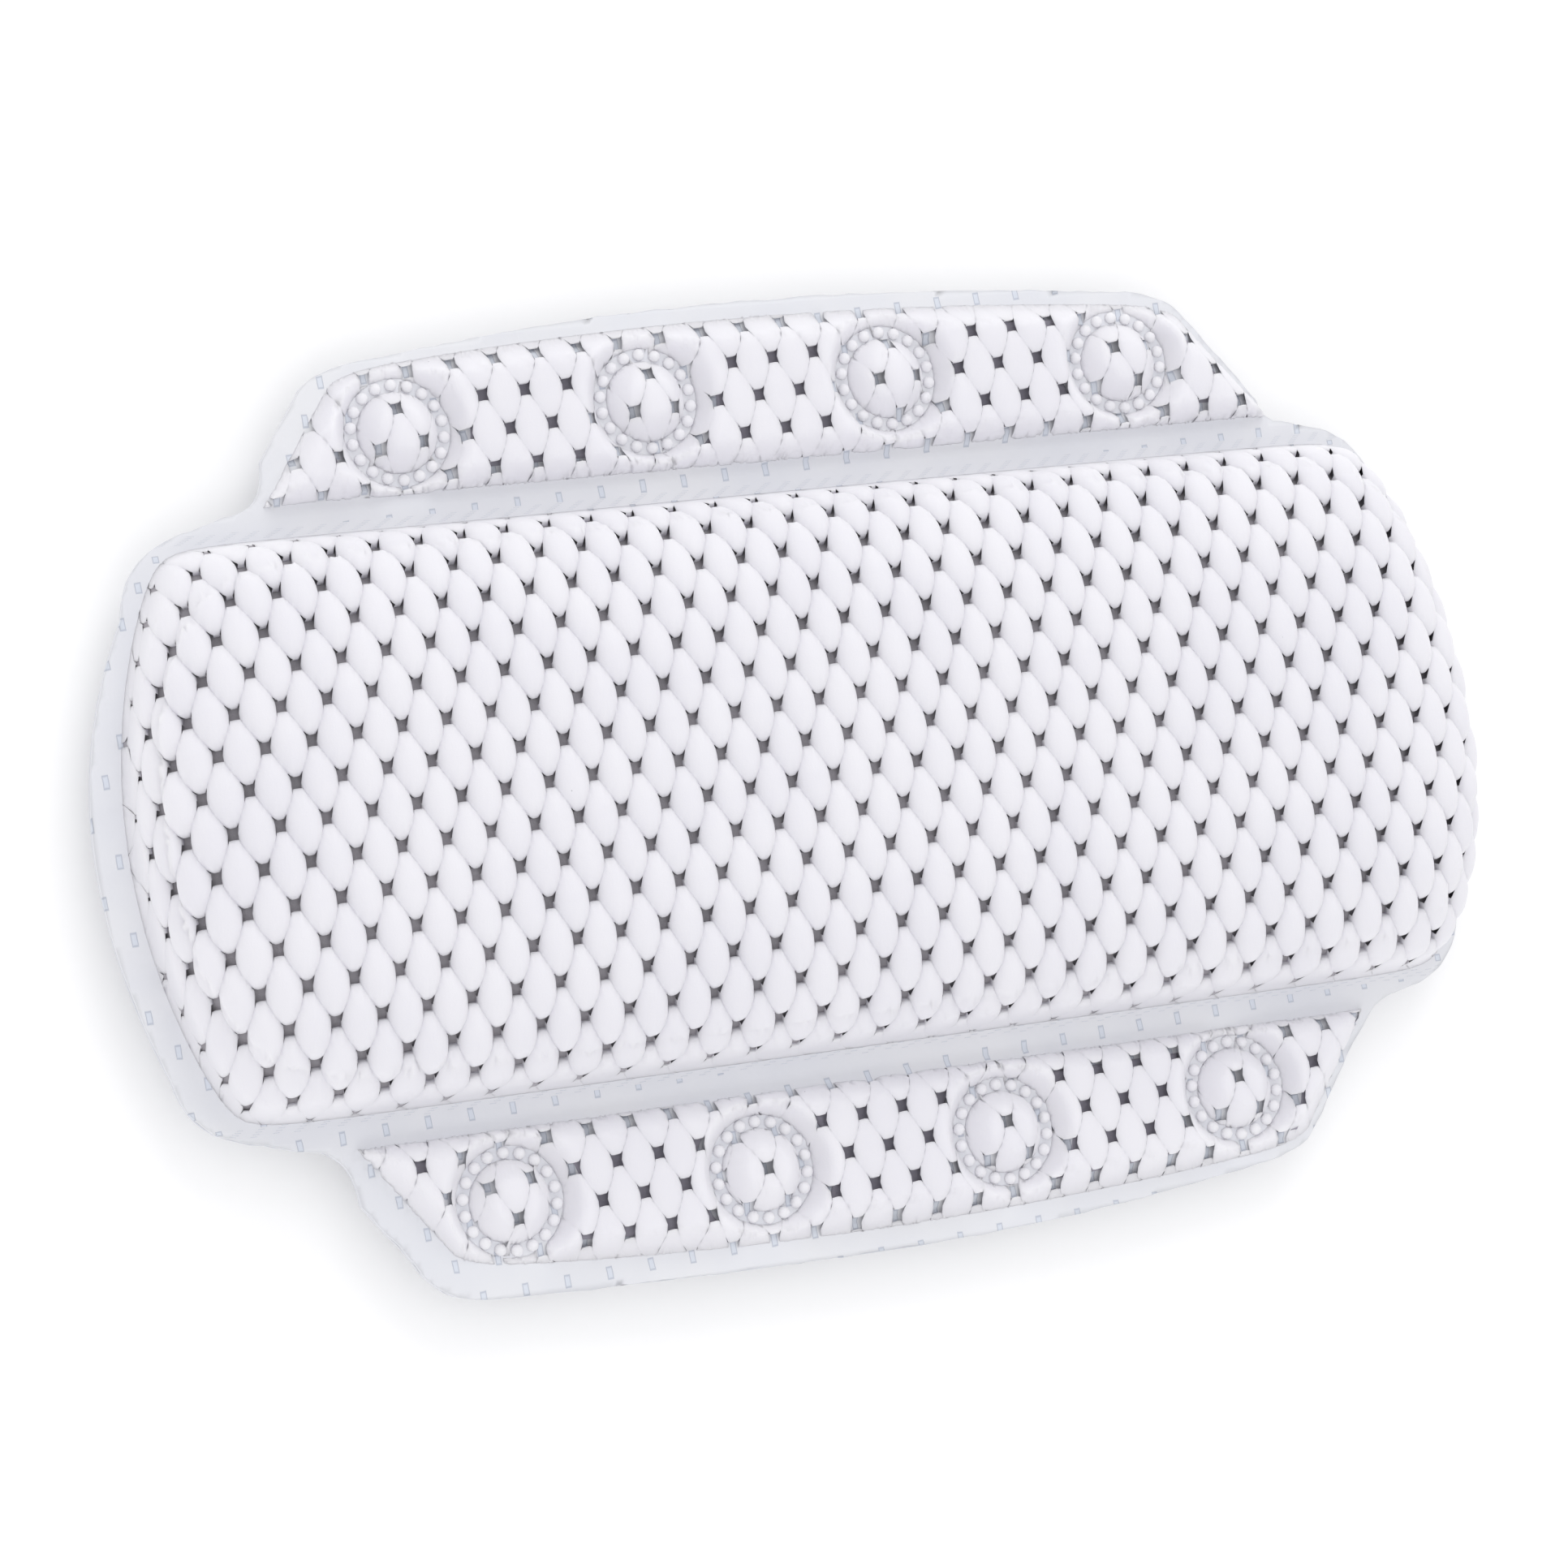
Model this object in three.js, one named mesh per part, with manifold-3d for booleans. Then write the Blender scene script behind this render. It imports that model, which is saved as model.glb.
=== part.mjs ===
import * as THREE from 'three';
import { mergeVertices } from 'three/addons/utils/BufferGeometryUtils.js';
import ManifoldModule from 'manifold-3d';

// A bath pillow lying on its suction cups. Millimetres, +X along the bolster, +Y across it,
// +Z from the cup rims towards the head. The origin is under the middle, at the cup rims.

// Bolster: the low loaf in the middle, measured at the level of the drain holes.
const BOLSTER_LENGTH = 316;
const BOLSTER_WIDTH = 126;
const BOLSTER_RISE = 22.2;
const BOLSTER_END_BOW = 15;
const CORNER_ROUND_SHARE = 0.04;
const SIDE_POWER = 3.5;
const END_POWER = 12;
const CROWN_POWER = 1.7;

// Flaps: one along each side of the bolster, past a flat welded strip.
const STRIP_WIDTH = 6;
const FLAP_WIDTH = 33;
const FLAP_INNER_LENGTH = 236;
const FLAP_OUTER_LENGTH = 200;
const FLAP_CHAMFER_DEPTH = 25;
const FLAP_EDGE_BOW = 3.8;
const FLAP_CORNER_CUT = 8;
const FLAP_CORNER_DROP = 1;
const FLAP_RISE = 3.6;

// Welded margin round the bolster and the flaps.
const END_MARGIN = 7;
const END_BOW = 9.5;
const SHOULDER_MARGIN = 2.5;
const SHOULDER_INSET = 21;
const SHOULDER_SLOPE = 2.3;
const CORNER_CUT = 13.5;
const NOTCH_RADIUS = 10;
const CHAMFER_MARGIN = 6.5;
const FLAP_MARGIN = 4;

// Sheets.
const BACK_SHEET_THICKNESS = 1;
const WELDED_MESH_THICKNESS = 1.2;
const FLAP_MESH_WALL = 1.2;
const BOLSTER_MESH_WALL = 2.2;
const CLEARANCE = 0.3;

// Mesh pattern: columns along the bolster, rows across it, turned a little on the pillow.
const COLUMN_PITCH = 9.8;
const ROW_PITCH = 16.7;
const PATTERN_TURN_DEG = 2.6;
const PATTERN_SHIFT_X = 2.7;
const PATTERN_SHIFT_Y = -3.3;
const POD_HEIGHT = 4.2;
const POD_SADDLE_SHARE = 0.5;
const POD_EGG_SHARE = 0.06;
const SEAM_FADE_SHARE = 0.12;
const SEAM_SINK = 0.6;

// Round welds that hold the cups.
const RING_END_INSET = 13.9;
const RING_INSET = 14.6;
const RING_BOW = 1.8;
const RING_OUTER_RADIUS = 11.85;
const RING_INNER_RADIUS = 9.1;
const RINGS_PER_FLAP = 4;

// Suction cups.
const CUP_RADIUS = 16;
const CUP_RIM_WIDTH = 1.2;
const CUP_HOLLOW_DEPTH = 3.6;
const CUP_BELL_HEIGHT = 7.4;
const CUP_EDGE_THICKNESS = 0.7;
const CUP_COLLAR_RADIUS = 6.5;
const CUP_COLLAR_HEIGHT = 1.3;
const CUP_NECK_RADIUS = 4;
const CUP_HEAD_RADIUS = 7.4;
const CUP_HEAD_THICKNESS = 2;
const CUP_HEAD_ROUND = 0.7;

// Drawing steps, the step that slopes are measured over, how near two corners are when they are one,
// and how far a cutting solid runs past what it cuts.
const CUP_SEGMENTS = 16;
const RING_SEGMENTS = 18;
const HIDDEN_SEGMENTS = 12;
const LOAF_SEGMENTS = 36;
const CURVE_STEPS = 5;
const SECTION_STEPS = 240;
const HALVING_STEPS = 30;
const SLOPE_STEP = 0.05;
const CORNER_TOLERANCE = 0.0001;
const OVERRUN = 5;

// Levels and places that follow from the sizes above.
const SHEET_UNDERSIDE = CUP_BELL_HEIGHT + CUP_COLLAR_HEIGHT + CLEARANCE;
const BACK_SHEET_TOP = SHEET_UNDERSIDE + BACK_SHEET_THICKNESS;
const MESH_UNDERSIDE = BACK_SHEET_TOP + CLEARANCE;
const MESH_TOP = MESH_UNDERSIDE + WELDED_MESH_THICKNESS;
const HALF_LENGTH = BOLSTER_LENGTH / 2;
const HALF_WIDTH = BOLSTER_WIDTH / 2;
const FLAP_INNER_Y = HALF_WIDTH + STRIP_WIDTH;
const FLAP_OUTER_Y = FLAP_INNER_Y + FLAP_WIDTH;
const RING_Y = FLAP_INNER_Y + RING_INSET;
const RING_SPACING = (FLAP_OUTER_LENGTH - RING_END_INSET * 2) / (RINGS_PER_FLAP - 1);
const PATTERN_TURN = THREE.MathUtils.degToRad(PATTERN_TURN_DEG);

const MESH_WHITE = new THREE.MeshStandardMaterial({ color: 0xeeeef2, roughness: 0.85, metalness: 0 });
const BACK_WHITE = new THREE.MeshStandardMaterial({ color: 0xe6e8ec, roughness: 0.7, metalness: 0 });
const CORE_GREY = new THREE.MeshStandardMaterial({ color: 0x6e6e76, roughness: 0.95, metalness: 0 });
const CUP_CLEAR = new THREE.MeshStandardMaterial({ color: 0xdfe6ea, roughness: 0.2, metalness: 0 });

// Turns a closed geometry into a solid that can be joined and cut.
function toSolid(geometry) {
  const bare = geometry.index ? geometry.toNonIndexed() : geometry.clone();
  bare.deleteAttribute('normal');
  bare.deleteAttribute('uv');
  const merged = mergeVertices(bare, CORNER_TOLERANCE);
  const vertProperties = new Float32Array(merged.attributes.position.array);
  const triVerts = new Uint32Array(merged.index.array);
  return new wasm.Manifold(new wasm.Mesh({ numProp: 3, vertProperties, triVerts }));
}

// Turns a solid back into a geometry for a mesh.
function toGeometry(solid) {
  const mesh = solid.getMesh();
  const geometry = new THREE.BufferGeometry();
  geometry.setAttribute('position', new THREE.BufferAttribute(new Float32Array(mesh.vertProperties), 3));
  geometry.setIndex(new THREE.BufferAttribute(new Uint32Array(mesh.triVerts), 1));
  geometry.computeVertexNormals();
  return geometry;
}

// Repeats the points of a quarter outline, which runs from +X to +Y, in the other three quarters.
function fourQuarters(quarter) {
  const back = quarter.slice(1, -1).reverse();
  const half = quarter.concat(back.map((p) => new THREE.Vector2(-p.x, p.y)));
  half.push(new THREE.Vector2(-quarter[0].x, quarter[0].y));
  const lower = half.slice(1, -1).map((p) => new THREE.Vector2(-p.x, -p.y));
  return half.concat(lower);
}

// Outline of the two welded sheets.
function sheetOutline() {
  const endX = HALF_LENGTH + END_MARGIN;
  const endCornerX = endX - END_BOW;
  const endCornerY = HALF_WIDTH - CORNER_CUT;
  const shoulderX = HALF_LENGTH - SHOULDER_INSET;
  const shoulderY = HALF_WIDTH + SHOULDER_MARGIN;
  const cornerX = endCornerX - (END_BOW * CORNER_CUT) / (endCornerY + CORNER_CUT);
  const notchTop = new THREE.Vector2(flapChamferX(FLAP_INNER_Y + NOTCH_RADIUS) + CHAMFER_MARGIN,
    FLAP_INNER_Y + NOTCH_RADIUS);
  const notchX = notchTop.x + NOTCH_RADIUS;
  const notchY = shoulderY + SHOULDER_SLOPE;
  const outerY = FLAP_OUTER_Y + FLAP_MARGIN;
  const chamferY = FLAP_INNER_Y + FLAP_CHAMFER_DEPTH;
  const chamferX = flapChamferX(chamferY) + CHAMFER_MARGIN;
  const path = new THREE.Path();
  path.moveTo(endX, 0);
  path.quadraticCurveTo(endX, endCornerY / 2, endCornerX, endCornerY);
  path.quadraticCurveTo(cornerX, shoulderY - SHOULDER_MARGIN, shoulderX, shoulderY);
  path.lineTo(notchX, notchY);
  path.quadraticCurveTo(notchTop.x + CLEARANCE, notchY, notchTop.x, notchTop.y);
  path.lineTo(chamferX, chamferY);
  addFlapEdge(path, chamferX, outerY);
  return fourQuarters(path.getPoints(CURVE_STEPS));
}

// Where the chamfered end of a flap lies at a distance from the pillow's middle line.
function flapChamferX(y) {
  const run = (FLAP_INNER_LENGTH - FLAP_OUTER_LENGTH) / 2;
  return FLAP_INNER_LENGTH / 2 - (run * (y - FLAP_INNER_Y)) / FLAP_CHAMFER_DEPTH;
}

// Rounds the outer corner of a flap and runs along its slightly bowed outer edge to the middle.
function addFlapEdge(path, chamferX, outerY) {
  const edgeX = chamferX - FLAP_CORNER_CUT * 2;
  const cornerY = outerY - FLAP_EDGE_BOW;
  path.quadraticCurveTo(chamferX - FLAP_CORNER_CUT / 2, cornerY - FLAP_CORNER_DROP, edgeX, cornerY);
  path.quadraticCurveTo(edgeX / 2, outerY, 0, outerY);
}

// Outline of the puffed part of a flap, grown or shrunk all round by a margin.
function flapOutline(grow) {
  const innerY = FLAP_INNER_Y - grow;
  const outerY = FLAP_OUTER_Y + grow;
  const chamferY = FLAP_INNER_Y + FLAP_CHAMFER_DEPTH;
  const tipX = flapChamferX(innerY) + grow;
  const chamferX = flapChamferX(chamferY) + grow;
  const path = new THREE.Path();
  path.moveTo(tipX, innerY);
  path.lineTo(chamferX, chamferY);
  addFlapEdge(path, chamferX, outerY);
  const half = path.getPoints(CURVE_STEPS);
  return half.concat(half.slice(0, -1).reverse().map((p) => new THREE.Vector2(-p.x, p.y)));
}

// Moves an outline of the upper flap to the lower one when side is -1, and keeps its direction.
function toSide(points, side) {
  if (side > 0) return points;
  return points.map((p) => new THREE.Vector2(p.x, -p.y)).reverse();
}

// Centres of the round welds of one flap; side is 1 for the upper flap and -1 for the lower one.
function ringCentres(side) {
  const centres = [];
  const middle = (RINGS_PER_FLAP - 1) / 2;
  for (let i = 0; i < RINGS_PER_FLAP; i += 1) {
    const across = (i - middle) / middle;
    const y = RING_Y + RING_BOW * (1 - across * across);
    centres.push(new THREE.Vector2((i - middle) * RING_SPACING, side * y));
  }
  return centres;
}

// An upright prism over an outline, between two levels, with optional round holes through it.
function prism(points, low, high, holes = [], holeRadius = 0) {
  const shape = new THREE.Shape(points);
  for (const centre of holes) {
    const hole = new THREE.Path();
    hole.absarc(centre.x, centre.y, holeRadius, 0, Math.PI * 2, true);
    shape.holes.push(new THREE.Path(hole.getPoints(HIDDEN_SEGMENTS / 2)));
  }
  const geometry = new THREE.ExtrudeGeometry(shape, { depth: high - low, bevelEnabled: false });
  return geometry.translate(0, 0, low);
}

// An upright cylinder between two levels.
function drum(centre, radius, low, high, segments = RING_SEGMENTS) {
  const geometry = new THREE.CylinderGeometry(radius, radius, high - low, segments);
  return geometry.rotateX(Math.PI / 2).translate(centre.x, centre.y, (low + high) / 2);
}

// The loaf form: 1 on the crown's middle, 0 on the seam, less than 0 outside it. Its sides are straight,
// its ends are bowed and its corners are a little round.
function loafShare(x, y, halfLength = HALF_LENGTH, halfWidth = HALF_WIDTH) {
  const endX = halfLength - BOLSTER_END_BOW * Math.min(1, (y / halfWidth) ** 2);
  const along = 1 - Math.abs(x / endX) ** END_POWER;
  const across = 1 - Math.abs(y / halfWidth) ** SIDE_POWER;
  const outside = Math.min(along, 0) + Math.min(across, 0);
  const both = outside < 0 ? outside : along * across;
  return (both - CORNER_ROUND_SHARE) / (1 - CORNER_ROUND_SHARE);
}

// The largest part of the way from 0 to a far end at which a test still holds.
function reach(test, far = 1) {
  let low = 0;
  let high = far;
  for (let i = 0; i < HALVING_STEPS; i += 1) {
    const middle = (low + high) / 2;
    if (test(middle)) low = middle;
    else high = middle;
  }
  return low;
}

// A closed loaf with a flat base, as rings of points from the base up to the crown.
function loaf(halfLength, halfWidth, rise, base, skirt) {
  const radiusShares = [1, 0.992, 0.97, 0.93, 0.87, 0.78, 0.62, 0.36];
  const share = (x, y) => Math.max(0, loafShare(x, y, halfLength, halfWidth));
  const positions = [];
  const addRing = (radiusShare, z) => {
    for (let k = 0; k < LOAF_SEGMENTS; k += 1) {
      const angle = (k * Math.PI * 2) / LOAF_SEGMENTS;
      const rayX = halfLength * Math.cos(angle);
      const rayY = halfWidth * Math.sin(angle);
      const seam = reach((t) => share(rayX * t, rayY * t) > 0, 2) * radiusShare;
      const x = rayX * seam;
      const y = rayY * seam;
      positions.push(x, y, z ?? base + rise * share(x, y) ** (1 / CROWN_POWER));
    }
  };
  if (skirt > 0) addRing(1, base - skirt);
  addRing(1, base);
  radiusShares.slice(1).forEach((radiusShare) => addRing(radiusShare));
  const bottom = positions.length / 3;
  const rings = bottom / LOAF_SEGMENTS;
  positions.push(0, 0, base - skirt);
  positions.push(0, 0, base + rise);
  const faces = [];
  for (let k = 0; k < LOAF_SEGMENTS; k += 1) {
    const next = (k + 1) % LOAF_SEGMENTS;
    faces.push(bottom, next, k);
    for (let r = 0; r + 1 < rings; r += 1) {
      const low = r * LOAF_SEGMENTS;
      const high = low + LOAF_SEGMENTS;
      faces.push(low + k, low + next, high + next);
      faces.push(low + k, high + next, high + k);
    }
    const last = (rings - 1) * LOAF_SEGMENTS;
    faces.push(last + k, last + next, bottom + 1);
  }
  const geometry = new THREE.BufferGeometry();
  geometry.setAttribute('position', new THREE.Float32BufferAttribute(positions, 3));
  geometry.setIndex(faces);
  return geometry;
}

// Distance across the pillow for a length of sheet run out from the crown's middle.
function makeSection() {
  const seamY = HALF_WIDTH * reach((t) => loafShare(0, HALF_WIDTH * t) > 0);
  const lengths = [0];
  const across = [0];
  let lastZ = BOLSTER_RISE;
  for (let i = 1; i <= SECTION_STEPS; i += 1) {
    const y = seamY * Math.sin((i * Math.PI) / 2 / SECTION_STEPS) ** (2 / SIDE_POWER);
    const z = BOLSTER_RISE * Math.max(0, loafShare(0, y)) ** (1 / CROWN_POWER);
    lengths.push(lengths[i - 1] + Math.hypot(y - across[i - 1], z - lastZ));
    across.push(y);
    lastZ = z;
  }
  const total = lengths[SECTION_STEPS];
  return (run) => {
    const length = Math.abs(run);
    if (length >= total) return Math.sign(run) * (seamY + length - total);
    let i = 1;
    while (lengths[i] < length) i += 1;
    const share = (length - lengths[i - 1]) / (lengths[i] - lengths[i - 1]);
    return Math.sign(run) * (across[i - 1] + share * (across[i] - across[i - 1]));
  };
}

// Place on the flat-laid mesh sheet of a pattern point; i counts half columns and j half rows.
function patternPoint(i, j) {
  const x = (i * COLUMN_PITCH) / 2 + PATTERN_SHIFT_X;
  const y = (j * ROW_PITCH) / 2;
  const turnedX = x * Math.cos(PATTERN_TURN) - y * Math.sin(PATTERN_TURN);
  const turnedY = x * Math.sin(PATTERN_TURN) + y * Math.cos(PATTERN_TURN);
  return new THREE.Vector2(turnedX, turnedY + PATTERN_SHIFT_Y);
}

// Draws a point that lies outside the bolster's seam back onto it, along X or Y, whichever is nearer.
function pullToSeam(x, y) {
  if (loafShare(x, y) >= 0) return new THREE.Vector2(x, y);
  const keptX = reach((t) => loafShare(x * t, y) > 0);
  const keptY = reach((t) => loafShare(x, y * t) > 0);
  if (Math.abs(y) * (1 - keptY) < Math.abs(x) * (1 - keptX)) return new THREE.Vector2(x, y * keptY);
  return new THREE.Vector2(x * keptX, y);
}

// A point of the pods' skin over the bolster, lift being its share of the pod height.
function bolsterPoint(section, i, j, lift) {
  const flat = patternPoint(i, j);
  const at = pullToSeam(flat.x, section(flat.y));
  const share = Math.max(0, loafShare(at.x, at.y));
  const rise = share ** (1 / CROWN_POWER);
  const point = new THREE.Vector3(at.x, at.y, MESH_TOP - SEAM_SINK + (BOLSTER_RISE + SEAM_SINK) * rise);
  const normal = new THREE.Vector3(
    (loafShare(at.x - SLOPE_STEP, at.y) - loafShare(at.x + SLOPE_STEP, at.y)) / (SLOPE_STEP * 2),
    (loafShare(at.x, at.y - SLOPE_STEP) - loafShare(at.x, at.y + SLOPE_STEP)) / (SLOPE_STEP * 2),
    (CROWN_POWER * rise ** (CROWN_POWER - 1)) / BOLSTER_RISE,
  ).normalize();
  const fade = THREE.MathUtils.smoothstep(share, 0, SEAM_FADE_SHARE);
  return point.addScaledVector(normal, POD_HEIGHT * lift * fade);
}

// A point of the pods' skin over a flap, before the flap's outline cuts it.
function flapPoint(section, i, j, lift) {
  const flat = patternPoint(i, j);
  return new THREE.Vector3(flat.x, section(flat.y), MESH_TOP + FLAP_RISE + POD_HEIGHT * lift);
}

// A closed slab whose top is the field of pods and whose base is flat. Each pod is a rhomb between four
// drain holes: its corners lie at the hole level, its edges on the saddle between two pods, and its
// top stands nearer to its round lower end.
function podField(cells, place, base) {
  const positions = [];
  const faces = [];
  const known = new Map();
  const vertex = (key, make) => {
    if (!known.has(key)) {
      known.set(key, positions.length / 3);
      const point = make();
      positions.push(point.x, point.y, point.z);
    }
    return known.get(key);
  };
  const corner = (i, j) => vertex(`c${i},${j}`, () => place(i, j, 0));
  const saddle = (i, j) => vertex(`s${i},${j}`, () => place(i, j, POD_SADDLE_SHARE));
  const foot = (i, j) => vertex(`f${i},${j}`, () => place(i, j, 0).setZ(base));
  const filled = new Set(cells.map(([i, j]) => `${i},${j}`));
  const turns = [[1, 0], [0, 1], [-1, 0], [0, -1]];
  for (const [i, j] of cells) {
    const top = vertex(`t${i},${j}`, () => place(i, j - POD_EGG_SHARE * 2, 1));
    for (let k = 0; k < turns.length; k += 1) {
      const [fromI, fromJ] = turns[k];
      const [toI, toJ] = turns[(k + 1) % turns.length];
      const from = corner(i + fromI, j + fromJ);
      const to = corner(i + toI, j + toJ);
      const middle = saddle(i + (fromI + toI) / 2, j + (fromJ + toJ) / 2);
      faces.push(top, from, middle, top, middle, to);
      if (!filled.has(`${i + fromI + toI},${j + fromJ + toJ}`)) {
        const fromFoot = foot(i + fromI, j + fromJ);
        const toFoot = foot(i + toI, j + toJ);
        faces.push(middle, from, fromFoot, middle, fromFoot, toFoot, middle, toFoot, to);
      }
    }
    const feet = turns.map(([a, b]) => foot(i + a, j + b));
    faces.push(feet[0], feet[3], feet[2], feet[0], feet[2], feet[1]);
  }
  const geometry = new THREE.BufferGeometry();
  geometry.setAttribute('position', new THREE.Float32BufferAttribute(positions, 3));
  geometry.setIndex(faces);
  return geometry;
}

// Pattern cells with a corner or their middle on the part of the pillow that a test allows.
function podCells(section, test) {
  const spots = [[0, 0], [1, 0], [0, 1], [-1, 0], [0, -1]];
  const cells = [];
  const columns = Math.ceil((BOLSTER_LENGTH + END_MARGIN) / COLUMN_PITCH);
  const rows = Math.ceil((FLAP_OUTER_Y + BOLSTER_RISE) / (ROW_PITCH / 2)) + 1;
  for (let j = -rows; j <= rows; j += 1) {
    for (let i = -columns; i <= columns; i += 1) {
      if (Math.abs(i + j) % 2 === 1) {
        const reaches = spots.some(([a, b]) => {
          const flat = patternPoint(i + a, j + b);
          return test(flat.x, section(flat.y));
        });
        if (reaches) cells.push([i, j]);
      }
    }
  }
  return cells;
}

// The mesh sheet: a welded flat edge, the bolster's pods and each flap's pods, hollow underneath.
function frontMeshCover(section) {
  const overBolster = podCells(section, (x, y) => loafShare(x, y) > SEAM_FADE_SHARE / 4);
  let cover = toSolid(prism(sheetOutline(), MESH_UNDERSIDE, MESH_TOP));
  const base = MESH_UNDERSIDE + WELDED_MESH_THICKNESS / 3;
  const pods = podField(overBolster, (i, j, lift) => bolsterPoint(section, i, j, lift), base);
  cover = cover.add(toSolid(pods));
  for (const side of [1, -1]) {
    const overFlap = podCells(section, (x, y) => Math.abs(x) < FLAP_INNER_LENGTH / 2
      && side * y > FLAP_INNER_Y && side * y < FLAP_OUTER_Y);
    const field = podField(overFlap, (i, j, lift) => flapPoint(section, i, j, lift), base);
    const top = MESH_TOP + FLAP_RISE + POD_HEIGHT + OVERRUN;
    const envelope = prism(toSide(flapOutline(0), side), base - OVERRUN, top);
    let flap = toSolid(field).intersect(toSolid(envelope));
    for (const centre of ringCentres(side)) {
      const outer = toSolid(drum(centre, RING_OUTER_RADIUS, MESH_TOP, top));
      const inner = toSolid(drum(centre, RING_INNER_RADIUS, MESH_TOP - OVERRUN, top + OVERRUN));
      flap = flap.subtract(outer.subtract(inner));
    }
    cover = cover.add(flap);
    cover = cover.subtract(flapPad(side, CLEARANCE, OVERRUN));
    for (const centre of ringCentres(side)) {
      const pocketTop = MESH_UNDERSIDE + CUP_HEAD_THICKNESS + CLEARANCE;
      const pocketRadius = CUP_HEAD_RADIUS + CLEARANCE;
      const pocket = drum(centre, pocketRadius, MESH_UNDERSIDE - OVERRUN, pocketTop, HIDDEN_SEGMENTS);
      cover = cover.subtract(toSolid(pocket));
    }
  }
  const hollow = loaf(HALF_LENGTH - BOLSTER_MESH_WALL, HALF_WIDTH - BOLSTER_MESH_WALL,
    MESH_TOP + BOLSTER_RISE - BOLSTER_MESH_WALL - MESH_UNDERSIDE, MESH_UNDERSIDE, OVERRUN);
  return toGeometry(cover.subtract(toSolid(hollow)));
}

// The filling of the bolster, which fills the cover's hollow but for the clearance.
function bolsterCore() {
  const inset = BOLSTER_MESH_WALL + CLEARANCE;
  return loaf(HALF_LENGTH - inset, HALF_WIDTH - inset,
    MESH_TOP + BOLSTER_RISE - inset - MESH_UNDERSIDE, MESH_UNDERSIDE, 0);
}

// The filling strip of a flap, open round each weld. Grown by a margin, it is also the hollow it fills.
function flapPad(side, grow, skirt) {
  const outline = toSide(flapOutline(grow - FLAP_MESH_WALL - CLEARANCE), side);
  const top = MESH_TOP + FLAP_RISE - FLAP_MESH_WALL - CLEARANCE + grow;
  const base = MESH_UNDERSIDE - skirt;
  const openRadius = RING_OUTER_RADIUS + FLAP_MESH_WALL / 2 + CLEARANCE - grow;
  let pad = toSolid(prism(outline, base, top));
  for (const centre of ringCentres(side)) {
    pad = pad.subtract(toSolid(drum(centre, openRadius, base - OVERRUN, top + OVERRUN, HIDDEN_SEGMENTS)));
  }
  return pad;
}

// The plain back sheet, with a hole for the neck of each cup.
function backSheet() {
  const holes = ringCentres(1).concat(ringCentres(-1));
  return prism(sheetOutline(), SHEET_UNDERSIDE, BACK_SHEET_TOP, holes, CUP_NECK_RADIUS + CLEARANCE);
}

// A suction cup: hollow bell, collar under the back sheet, neck through it and head above it.
function suctionCup() {
  const rim = CUP_RADIUS - CUP_RIM_WIDTH;
  const collarBase = CUP_BELL_HEIGHT;
  const headBase = MESH_UNDERSIDE;
  const headTop = headBase + CUP_HEAD_THICKNESS;
  const hollow = new THREE.QuadraticBezierCurve(
    new THREE.Vector2(0, CUP_HOLLOW_DEPTH),
    new THREE.Vector2(rim / 2, CUP_HOLLOW_DEPTH),
    new THREE.Vector2(rim, 0),
  ).getPoints(2);
  const bell = new THREE.QuadraticBezierCurve(
    new THREE.Vector2(CUP_RADIUS, CUP_EDGE_THICKNESS),
    new THREE.Vector2((CUP_RADIUS + CUP_COLLAR_RADIUS) / 2, collarBase),
    new THREE.Vector2(CUP_COLLAR_RADIUS, collarBase),
  ).getPoints(2);
  const profile = hollow.concat(new THREE.Vector2(CUP_RADIUS, 0), bell, [
    new THREE.Vector2(CUP_COLLAR_RADIUS, collarBase + CUP_COLLAR_HEIGHT),
    new THREE.Vector2(CUP_NECK_RADIUS, collarBase + CUP_COLLAR_HEIGHT),
    new THREE.Vector2(CUP_NECK_RADIUS, headBase),
    new THREE.Vector2(CUP_HEAD_RADIUS, headBase),
    new THREE.Vector2(CUP_HEAD_RADIUS, headTop - CUP_HEAD_ROUND),
    new THREE.Vector2(CUP_HEAD_RADIUS - CUP_HEAD_ROUND, headTop),
    new THREE.Vector2(0, headTop),
  ]);
  return new THREE.LatheGeometry(profile, CUP_SEGMENTS).rotateX(Math.PI / 2);
}

function addMesh(group, name, geometry, material, x = 0, y = 0) {
  const mesh = new THREE.Mesh(geometry, material);
  mesh.name = name;
  mesh.position.set(x, y, 0);
  group.add(mesh);
}

const wasm = await ManifoldModule();
wasm.setup();

const pillow = new THREE.Group();
addMesh(pillow, 'front_mesh_cover', frontMeshCover(makeSection()), MESH_WHITE);
addMesh(pillow, 'back_sheet', backSheet(), BACK_WHITE);
addMesh(pillow, 'bolster_core', bolsterCore(), CORE_GREY);
addMesh(pillow, 'upper_flap_pad', toGeometry(flapPad(1, 0, 0)), CORE_GREY);
addMesh(pillow, 'lower_flap_pad', toGeometry(flapPad(-1, 0, 0)), CORE_GREY);
for (const [side, row] of [[1, 'upper'], [-1, 'lower']]) {
  ringCentres(side).forEach((centre, i) => {
    addMesh(pillow, `suction_cup_${row}_${i + 1}`, suctionCup(), CUP_CLEAR, centre.x, centre.y);
  });
}

export default pillow;
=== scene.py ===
import logging
import math
from collections.abc import Callable, Iterable, Sequence
from dataclasses import dataclass, field, replace
from enum import Enum

import bmesh
import bpy
import numpy as np
from mathutils import Matrix, Vector, noise


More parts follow.
